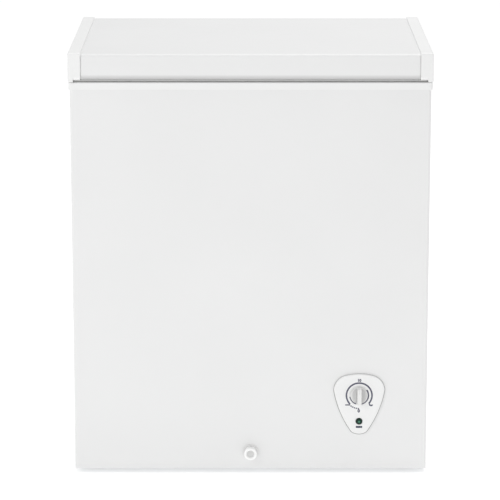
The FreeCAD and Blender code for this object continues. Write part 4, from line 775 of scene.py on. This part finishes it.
def bezel_seal():
    """A thin dark grey seal all round the panel, a little lower than it; its grey is painted shadow for the
    shadow line at the panel's edge.
    """
    plate = nodes["control_bezel"].data
    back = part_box("control_bezel")[1].y
    edge = [(v.co.x, v.co.z) for v in plate.vertices if v.co.y > back - 0.0005]
    sag = Vector((0.0, -0.0009))
    outline = [Vector(edge[i]) + sag for i in convex_hull_2d(edge)]
    stations = []
    for i, here in enumerate(outline):
        run = outline[(i + 1) % len(outline)] - outline[i - 1]
        if run.length > 1e-6:
            stations.append((here, Vector((run.y, -run.x)).normalized()))
    profile = [(-0.0020, 0.0), (0.0011, 0.0), (0.0013, 0.0004), (0.0011, 0.0008), (-0.0020, 0.0008)]
    ring = swept_ring("seal", stations, profile)
    ring.transform(Matrix(((1, 0, 0, 0), (0, 0, -1, back), (0, 1, 0, 0), (0, 0, 0, 1))))
    # painted shadow: the seal's dark grey stands for the shade where the panel meets the sheet
    grey = rubber("bezel_seal", (0.36, 0.365, 0.36), (0.44, 0.44, 0.435))
    put("bezel_seal", ring, "cabinet", grey)


def smooth_step(low, high, value):
    """Rises from 0 at low to 1 at high, with no corner at either end."""
    t = max(0.0, min(1.0, (value - low) / (high - low)))
    return t * t * (3 - 2 * t)


def thermostat_knob():
    """The knob: a low round skirt and a grip bar whose flanks are scooped out of the crown."""
    low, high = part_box("thermostat_knob")
    centre = Vector(((low.x + high.x) / 2, 0.0, (low.z + high.z) / 2))
    radius = (high.x - low.x) / 2
    seat, crown = high.y, low.y
    rim = seat - 0.0042
    bar_half, root, bar_foot = 0.0043, 0.0058, 0.0062
    rings, steps = 44, 144
    points, faces = [], []
    for ring in range(rings + 1):
        r = radius * (ring / rings) ** 0.85
        for k in range(steps):
            a = 2 * math.pi * k / steps
            x, z = r * math.cos(a), r * math.sin(a)
            bar = 1.0 - smooth_step(bar_half, bar_foot, abs(x))
            reach = 1.0 - smooth_step(radius * 0.90, radius * 0.985, r)
            crest = rim + (crown - rim) * bar * reach
            scoop = (1.0 - smooth_step(root, radius * 0.9, abs(x))) * 0.0020
            edge = smooth_step(radius * 0.90, radius, r)
            y = crest + scoop * (1.0 - bar) * (1.0 - edge) + 0.0009 * edge ** 2
            points.append((centre.x + x, y, centre.z + z))
    for ring in range(rings):
        for k in range(steps):
            a, b = ring * steps + k, ring * steps + (k + 1) % steps
            faces.append((a, b, b + steps, a + steps))
    start = len(points)
    for k in range(steps):
        a = 2 * math.pi * k / steps
        points.append((centre.x + radius * math.cos(a), seat, centre.z + radius * math.sin(a)))
    for k in range(steps):
        a, b = rings * steps + k, rings * steps + (k + 1) % steps
        faces.append((a, b, start + (k + 1) % steps, start + k))
    faces.append(list(range(start, start + steps)))
    mesh = mesh_from("knob", points, faces)
    mesh.materials.append(moulded_white("knob_white", (0.80, 0.80, 0.79), 1800.0))
    # painted shade: the scooped flanks are a greyer white and the strip by the bar's root a dark grey,
    # standing for the shade in the scoops and the shadow along the bar
    mesh.materials.append(moulded_white("knob_flank_painted_shade", (0.70, 0.70, 0.695), 1800.0))
    mesh.materials.append(moulded_white("knob_root_painted_shadow", (0.38, 0.38, 0.38), 1800.0))
    # mask for that painted shade and shadow: scooped faces inside the rim, the darkest beside the bar
    for face in mesh.polygons:
        x, z = abs(face.center.x - centre.x), face.center.z - centre.z
        if math.hypot(x, z) < radius * 0.93 and x > bar_half and face.center.y < seat - 0.0005:
            face.material_index = 2 if x < root else 1
    put("knob", mesh, "thermostat_dial", None, replaces=("thermostat_knob",), crease=50.0)
    line = flat_bar("knob_line", (centre.x, centre.z + radius * 0.62), crown, 1.2 * MM, radius * 0.5)
    ink = pad_printed("pointer_ink", (0.66, 0.66, 0.67))
    put("knob_line", line, "thermostat_dial", ink, smooth=False)


def indicator_lens():
    """The lamp's lens: a low dome in a thin collar."""
    low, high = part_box("indicator_lens")
    centre = ((low.x + high.x) / 2, high.y, (low.z + high.z) / 2)
    r = (high.x - low.x) / 2
    depth = high.y - low.y
    collar, rings = 0.42, 14
    outline = [(0.0, 0.0), (r, 0.0)]
    for k in range(rings + 1):
        a = math.pi / 2 * k / rings
        outline.append((r * math.cos(a) if k < rings else 0.0, depth * (collar + (1 - collar) * math.sin(a))))
    mesh = turned("lamp_lens", outline, centre, (0, -1, 0), 72)
    put("lamp_lens", mesh, "cabinet", lamp_green(centre[0], centre[2]),
        replaces=("indicator_lens",), crease=60.0)


def drain_dial():
    """The drain's dial: a bright rounded ring round a sunk face with a raised arrow."""
    low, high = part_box("drain_dial")
    flange_low, flange_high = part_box("drain_flange")
    cx, cz = (flange_low.x + flange_high.x) / 2, (flange_low.z + flange_high.z) / 2
    r = (high.x - low.x) / 2
    front = low.y
    back = flange_low.y - 0.0003
    depth = back - front
    bowl, sunk = 0.62 * r, 0.0034
    ring = rounded([(0.0, 0.0, 0.0), (r, 0.0, 0.0004), (r, depth, 0.0034), (bowl, depth, 0.0026),
                    (bowl - 0.0008, depth - sunk, 0.001), (0.0, depth - sunk, 0.0)], 0.0, 8)
    mesh = turned("dial", ring, (cx, back, cz), (0, -1, 0), 120)
    pipe = [(0.0064, 0.0), (0.0087, 0.0), (0.0087, 0.0405), (0.0082, 0.041), (0.0064, 0.041)]
    spout = turned("spout", pipe, (cx, back - 0.0002, cz), (0, 1, 0), 64)
    # painted shade: the sunk face and its arrow are a mid grey standing for the shade in the dial's recess
    grey = moulded_white("drain_face_painted_shade", (0.66, 0.66, 0.655), 1500.0)
    face_ring = [(0.0, 0.0), (bowl - 0.0012, 0.0), (bowl - 0.0012, 0.0004), (0.0, 0.0004)]
    face = turned("drain_face", face_ring, (cx, front + sunk, cz), (0, -1, 0), 96)
    put("drain_face", face, "drain_knob", grey)
    y = front + sunk
    tip = [(-0.0028, -0.0022), (0.0028, -0.0022), (0.0, 0.0038)]
    arrow_points = [(cx + a, y + 0.0005, cz + b) for a, b in tip]
    arrow_points += [(cx + a * 0.85, y - 0.0011, cz + b * 0.85) for a, b in tip]
    arrow = mesh_from("arrow", arrow_points, [(0, 1, 2), (5, 4, 3), (0, 3, 4, 1), (1, 4, 5, 2), (2, 5, 3, 0)])
    put("drain_arrow", arrow, "drain_knob", grey, smooth=False)
    put("drain_dial_turned", joined("drain_dial_turned", [mesh, spout]), "drain_knob",
        moulded_white("drain_white", (0.93, 0.93, 0.925), 1600.0), replaces=("drain_dial",), crease=45.0)


# ------------------------------ lid
def bellows_gasket():
    """The lid's seal: a ribbed bellows with a flat magnet pocket and a barb above, mitred round the lid."""
    low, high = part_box("lid_gasket")
    width, tall = 0.018, 0.0074
    wall = [(0.0006, 0.0), (0.0, 0.0006), (0.0, 0.0028), (0.0010, 0.0036), (0.0040, 0.0039), (0.0046, 0.0045),
            (0.0040, 0.0051), (0.0010, 0.0055), (0.0, 0.0062), (0.0, tall - 0.0004), (0.0004, tall)]
    profile = [(-width + depth, low.z + height) for depth, height in wall]
    profile += [(-depth, low.z + height) for depth, height in reversed(wall)]
    stations = rounded_rectangle((high.x - low.x) / 2, (high.y - low.y) / 2, 0.0012, 3)
    bellows = swept_ring("bellows_gasket", stations, profile)
    mid, half = -width / 2, 0.0019
    foot, shoulder = low.z + tall - 0.0002, high.z - 0.001
    barb = [(mid + half, foot), (mid - half, foot), (mid - half, shoulder),
            (mid - 0.0012, high.z), (mid + 0.0012, high.z), (mid + half, shoulder)]
    stem = swept_ring("barb", stations, barb)
    pale = rubber("gasket_rubber", (0.74, 0.745, 0.735), (0.80, 0.80, 0.79))
    put("bellows_gasket", joined("bellows_gasket", [bellows, stem]), "lid", pale,
        replaces=("lid_gasket",), crease=60.0)


def cap_seams(white):
    """The soft strips that close the joints between the lid's sheet and its end caps."""
    low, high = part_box("lid_skin")
    top, foot, half_y = high.z - 0.0005, low.z + 0.0030, high.y - 0.0012
    deep = 0.0016
    inner_y, under = half_y - deep, top - deep
    outline = rounded([(-half_y, foot, 0.0), (-half_y, top, 0.0045), (half_y, top, 0.0045),
                       (half_y, foot, 0.0), (inner_y, foot, 0.0), (inner_y, under, 0.003),
                       (-inner_y, under, 0.003), (-inner_y, foot, 0.0)], 0.0, 6)
    strips = []
    for side in (-1, 1):
        ends = sorted((side * (high.x - 0.0003), side * (high.x + 0.0019)))
        strips.append(prism("strip", outline, *ends))
    put("cap_seams", joined("cap_seams", strips), "lid", white, crease=30.0)


def cap_buffers(white):
    """Thin soft pads under the feet of the end caps, just clear of the rim."""
    pads = []
    inset, sunk, raised = 0.0042, 0.00085, 0.0006
    rim_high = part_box("rim_frame")[1]
    for side, node in ((-1, "lid_left_cap"), (1, "lid_right_cap")):
        low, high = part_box(node)
        outer = side * (rim_high.x - 0.0004)
        inner = side * (rim_high.x - 0.0092)
        outline = rounded([(low.y + inset, low.z - sunk), (high.y - inset, low.z - sunk),
                           (high.y - inset, low.z + raised), (low.y + inset, low.z + raised)], 0.0003, 2)
        pads.append(prism("pad", outline, *sorted((inner, outer))))
    put("cap_buffers", joined("cap_buffers", pads), "lid", white, crease=30.0)


def front_lip(grey):
    """The soft grey lip behind the lid's front edge, which keeps dust out of the gap over the rim; its grey
    is partly painted shade for the shadow in that gap.
    """
    skin_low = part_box("lid_skin")[0]
    cap_low, cap_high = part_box("lid_right_cap")
    half = cap_high.x - 0.0115
    front = skin_low.y + 0.0040
    back, foot, top = front + 0.0016, cap_low.z + 0.0001, skin_low.z + 0.0022
    outline = rounded([(front, foot), (back, foot), (back, top), (front, top)], 0.0006, 3)
    put("front_lip", prism("front_lip", outline, -half, half), "lid", grey, crease=30.0)


# ------------------------------ hinges
def hinge_springs(coil, wire):
    """Both coil springs: each stands on its bracket."""
    low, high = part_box("hinge_springs")
    wire_r, coil_r, pitch, end_gap = 0.001, 0.005, 0.0052, 0.0018
    z0, z1 = low.z + end_gap, high.z - end_gap
    pin_low, pin_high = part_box("left_hinge_plunger")
    y = (pin_low.y + pin_high.y) / 2
    for side, plunger in (("left", "left_plunger"), ("right", "right_plunger")):
        p_low, p_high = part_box(side + "_hinge_plunger")
        x = (p_low.x + p_high.x) / 2
        seed = runs_mesh("seed", [[(0, 0, 0), (0, 0, 0.001)]])
        mesh = grown(side + "_spring", seed, coil, {
            "Turns": (z1 - z0) / pitch, "Coil radius": coil_r, "Height": z1 - z0, "Wire radius": wire_r,
            "Base": (x, y, z0), "Finish": wire})
        mesh.shade_smooth()
        piece = bpy.data.objects.new(side + "_spring", mesh)
        bpy.context.scene.collection.objects.link(piece)
        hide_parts("hinge_springs")
        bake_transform(piece)


def bracket_screw_heads(repeat, zinc):
    """The hinge brackets' screws, each a domed cross-head set where the CAD has one."""
    head_r, head_h, shank_r, shank_l = 0.004, 0.0024, 0.002, 0.009
    seats = [((low.x + high.x) / 2, high.y - head_h, (low.z + high.z) / 2)
             for low, high in solid_boxes("bracket_screws", 8)]
    places = bpy.data.meshes.new("bracket_screw_heads_points")
    places.from_pydata(seats, [], [])
    screw = pan_head_screw("bracket_screw_heads_shape", head_r, head_h, shank_r, shank_l)
    head_to_back = (-math.pi / 2, 0.0, 0.0)
    made = grown("bracket_screw_heads", places, repeat, {
        "Shape": screw, "Turn": head_to_back, "Finish": zinc})
    put("bracket_screw_heads", made, "cabinet", None, replaces=("bracket_screws",), crease=35.0)
    bpy.data.objects.remove(screw)


def solid_boxes(node, count):
    """The box round each separate solid of a node, by grouping corners that lie close together."""
    reach = 0.030
    groups = []
    for vertex in nodes[node].data.vertices:
        co = vertex.co.copy()
        for first, lowest, highest in groups:
            if (first - co).length < reach:
                for i in range(3):
                    lowest[i] = min(lowest[i], co[i])
                    highest[i] = max(highest[i], co[i])
                break
        else:
            groups.append([co.copy(), list(co), list(co)])
    if len(groups) != count:
        raise ValueError(f"{node}: found {len(groups)} solids, not {count}")
    return [(Vector(lowest), Vector(highest)) for _, lowest, highest in groups]


# ------------------------------ basket
def wire_basket(bent, coating):
    """The hanging basket: bent cross wires under welded long wires, a heavier rim, two hooks at each end."""
    low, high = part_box("wire_basket")
    x0, x1 = low.x + 0.002, high.x - 0.002
    y_hook = high.y
    y1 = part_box("rim_frame")[1].y - 0.071
    z_floor = low.z + 0.006
    z_hook = high.z - 0.002
    z_rim = z_hook - 0.0145
    bar_r, frame_r = 0.0015, 0.0020
    across, along = 12, 8
    inset = 0.0032
    lean = inset + 0.004

    def loop(inward, z):
        """A level rectangle of wire, set inward of the basket's outline."""
        left, right, near_side, far_side = x0 + inward, x1 - inward, -y1 + inward, y1 - inward
        return [(left, near_side, z), (right, near_side, z), (right, far_side, z), (left, far_side, z),
                (left, near_side, z)]

    bars = []
    for k in range(across):
        y = -y1 + 0.012 + (2 * y1 - 0.024) * k / (across - 1)
        bars.append([(x0 + inset, y, z_rim), (x0 + lean, y, z_floor),
                     (x1 - lean, y, z_floor), (x1 - inset, y, z_rim)])
    for k in range(along):
        x = x0 + 0.018 + (x1 - x0 - 0.036) * k / (along - 1)
        z = z_floor + 0.0036
        bars.append([(x, -y1 + inset, z_rim), (x, -y1 + lean, z), (x, y1 - lean, z), (x, y1 - inset, z_rim)])
    thin = grown("basket_bars", runs_mesh("bars", bars), bent, {
        "Wire radius": bar_r, "Bend radius": 0.012, "Sides": 10, "Finish": coating})
    levels = [loop(0.0008 + 0.004 * (1 - share), z_floor + (z_rim - z_floor) * share)
              for share in (0.12, 0.36, 0.62)]
    hoops = grown("basket_hoops", runs_mesh("hoops", levels), bent, {
        "Wire radius": bar_r, "Bend radius": 0.022, "Sides": 10, "Finish": coating})
    heavy = [loop(0.0006, z_rim)]
    foot = z_rim - 0.030
    for side in (-1, 1):
        out, inner = side * (y_hook - 0.0022), side * (y1 + 0.0012)
        for x in (x0 + 0.036, x1 - 0.036):
            a, b = x - 0.012, x + 0.012
            heavy.append([(a, inner, foot), (a, inner, z_hook), (a, out, z_hook),
                          (b, out, z_hook), (b, inner, z_hook), (b, inner, foot)])
    frame_wire = grown("basket_frame", runs_mesh("frame", heavy), bent, {
        "Wire radius": frame_r, "Bend radius": 0.005, "Sides": 14, "Finish": coating})
    whole = joined("basket_wirework", [thin, hoops, frame_wire])
    put("basket_wirework", whole, "basket", coating, replaces=("wire_basket",), crease=60.0)


# ------------------------------ compressor bay
def weld_bead(enamel):
    """The weld bead round the joint of the sealed shells, rippled as a run of weld is."""
    low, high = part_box("compressor_lower_shell")
    x, y = (low.x + high.x) / 2, (low.y + high.y) / 2
    r = (high.x - low.x) / 2
    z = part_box("compressor_upper_shell")[0].z
    points = []
    steps, sides = 160, 8
    for k in range(steps):
        a = 2 * math.pi * k / steps
        swell = 0.0016 + 0.00022 * math.sin(a * 57) + 0.0001 * math.sin(a * 23)
        for side in range(sides):
            b = 2 * math.pi * side / sides
            reach = r - 0.0004 + swell * math.cos(b)
            points.append((x + reach * math.cos(a), y + reach * math.sin(a), z + swell * math.sin(b)))
    bead = mesh_from("weld_bead", points, ring_faces(steps, sides))
    put("weld_bead", bead, "cabinet", enamel)


def grille_louvres(repeat, plastic):
    """A sloping hood over each slot of the rear grille."""
    low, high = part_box("compartment_grille")
    half_l, taper = 0.0365, 0.004
    section = [(0.0, 0.0045), (0.0030, 0.0005), (0.0030, -0.0005), (0.0024, -0.0005), (0.0, 0.0032)]
    stations = [(-half_l, 0.0), (-half_l + taper, 1.0), (half_l - taper, 1.0), (half_l, 0.0)]
    points = [(x, out * (0.15 + 0.85 * rise), z) for x, rise in stations for out, z in section]
    n = len(section)
    last = (len(stations) - 1) * n
    faces = []
    for k in range(0, last, n):
        for i in range(n):
            j = (i + 1) % n
            faces.append((k + i, k + j, k + n + j, k + n + i))
    faces += [list(range(n - 1, -1, -1)), list(range(last, last + n))]
    hood = bpy.data.objects.new("louvre", mesh_from("louvre", points, faces))
    rows, pitch = 11, 0.015
    left, right = low.x + 0.007, high.x - 0.007
    middle = (left + right) / 2
    spots = []
    for row in range(rows):
        z = low.z + 0.004 + 0.042 + row * pitch + 0.0055
        for a, b in ((left + 0.010, middle - 0.006), (middle + 0.006, right - 0.010)):
            spots.append(((a + b) / 2, high.y, z))
    places = bpy.data.meshes.new("louvre_places")
    places.from_pydata(spots, [], [])
    made = grown("grille_louvres", places, repeat, {"Shape": hood, "Finish": plastic})
    put("grille_louvres", made, "cabinet", None, crease=30.0)
    bpy.data.objects.remove(hood)


# ------------------------------ everything
def coat_cad_nodes(finishes):
    """Gives each CAD node that still shows its own finish."""
    for name, piece in nodes.items():
        material = finishes.get(name) or finishes[slot_of[name]]
        if not piece.material_slots:
            piece.data.materials.append(material)
        for spot in piece.material_slots:
            spot.material = material


def main():
    studio()
    lid_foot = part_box("lid_skin")[0].z
    white = moulded_white()
    zinc = zinc_plate()
    black = dark_plastic()
    enamel = compressor_enamel()
    wire = spring_wire()
    finishes = {
        "white_paint": baked_white_enamel(),
        "white_plastic": white,
        "galvanised_sheet": galvanised_sheet(),
        "liner_aluminium": embossed_aluminium(),
        "foam": rigid_foam(),
        "coil_aluminium": drawn_tube("coil_aluminium", (0.62, 0.63, 0.64), 0.4, 0.9, (0.55, 0.55, 0.56)),
        "tube_steel": drawn_tube("tube_steel", (0.03, 0.03, 0.034), 0.4, 0.1, (0.06, 0.055, 0.05)),
        "copper": drawn_tube("copper", (0.62, 0.28, 0.16), 0.33, 0.95, (0.34, 0.16, 0.10)),
        "black_plastic": black,
        "black_rubber": rubber("black_rubber", (0.020, 0.020, 0.022), (0.055, 0.053, 0.05)),
        "grey_rubber": rubber("grey_rubber", (0.30, 0.305, 0.31), (0.38, 0.38, 0.375)),
        "gasket_rubber": rubber("seal_rubber", (0.74, 0.745, 0.735), (0.80, 0.80, 0.79)),
        "zinc_steel": zinc,
        "spring_steel": wire,
        "black_steel": enamel,
        "motor_iron": bare_iron("motor_iron", (0.09, 0.09, 0.095)),
        "magnet": bare_iron("magnet_strip", (0.03, 0.028, 0.028)),
        "green_lens": lamp_green(*panel_places()[1]),
        "basket_coating": coated_wire(),
        # the lid's sheet carries painted shade along its turned-under lower edge
        "lid_skin": baked_white_enamel("lid_enamel_painted_shade", (lid_foot, lid_foot + 0.0115)),
        "control_bezel": moulded_white("bezel_white", (0.845, 0.847, 0.845), 1500.0),
        # painted shade: the drain's flange is a little greyer than the sheet, standing for the soft shadow
        # round the dial
        "drain_flange": moulded_white("flange_painted_shade", (0.77, 0.77, 0.765), 1500.0),
    }
    coat_cad_nodes(finishes)
    bent, coil, repeat = wire_tree(), coil_tree(), repeat_tree()
    dial_scale()
    bezel_seal()
    thermostat_knob()
    indicator_lens()
    drain_dial()
    cap_seams(white)
    cap_buffers(white)
    # the lip's mid grey is partly painted shade for the gap under the lid
    front_lip(rubber("lip_grey_painted_shade", (0.50, 0.50, 0.495), (0.56, 0.56, 0.55)))
    bellows_gasket()
    hinge_springs(coil, wire)
    bracket_screw_heads(repeat, zinc)
    wire_basket(bent, finishes["basket_coating"])
    weld_bead(enamel)
    grille_louvres(repeat, black)


main()
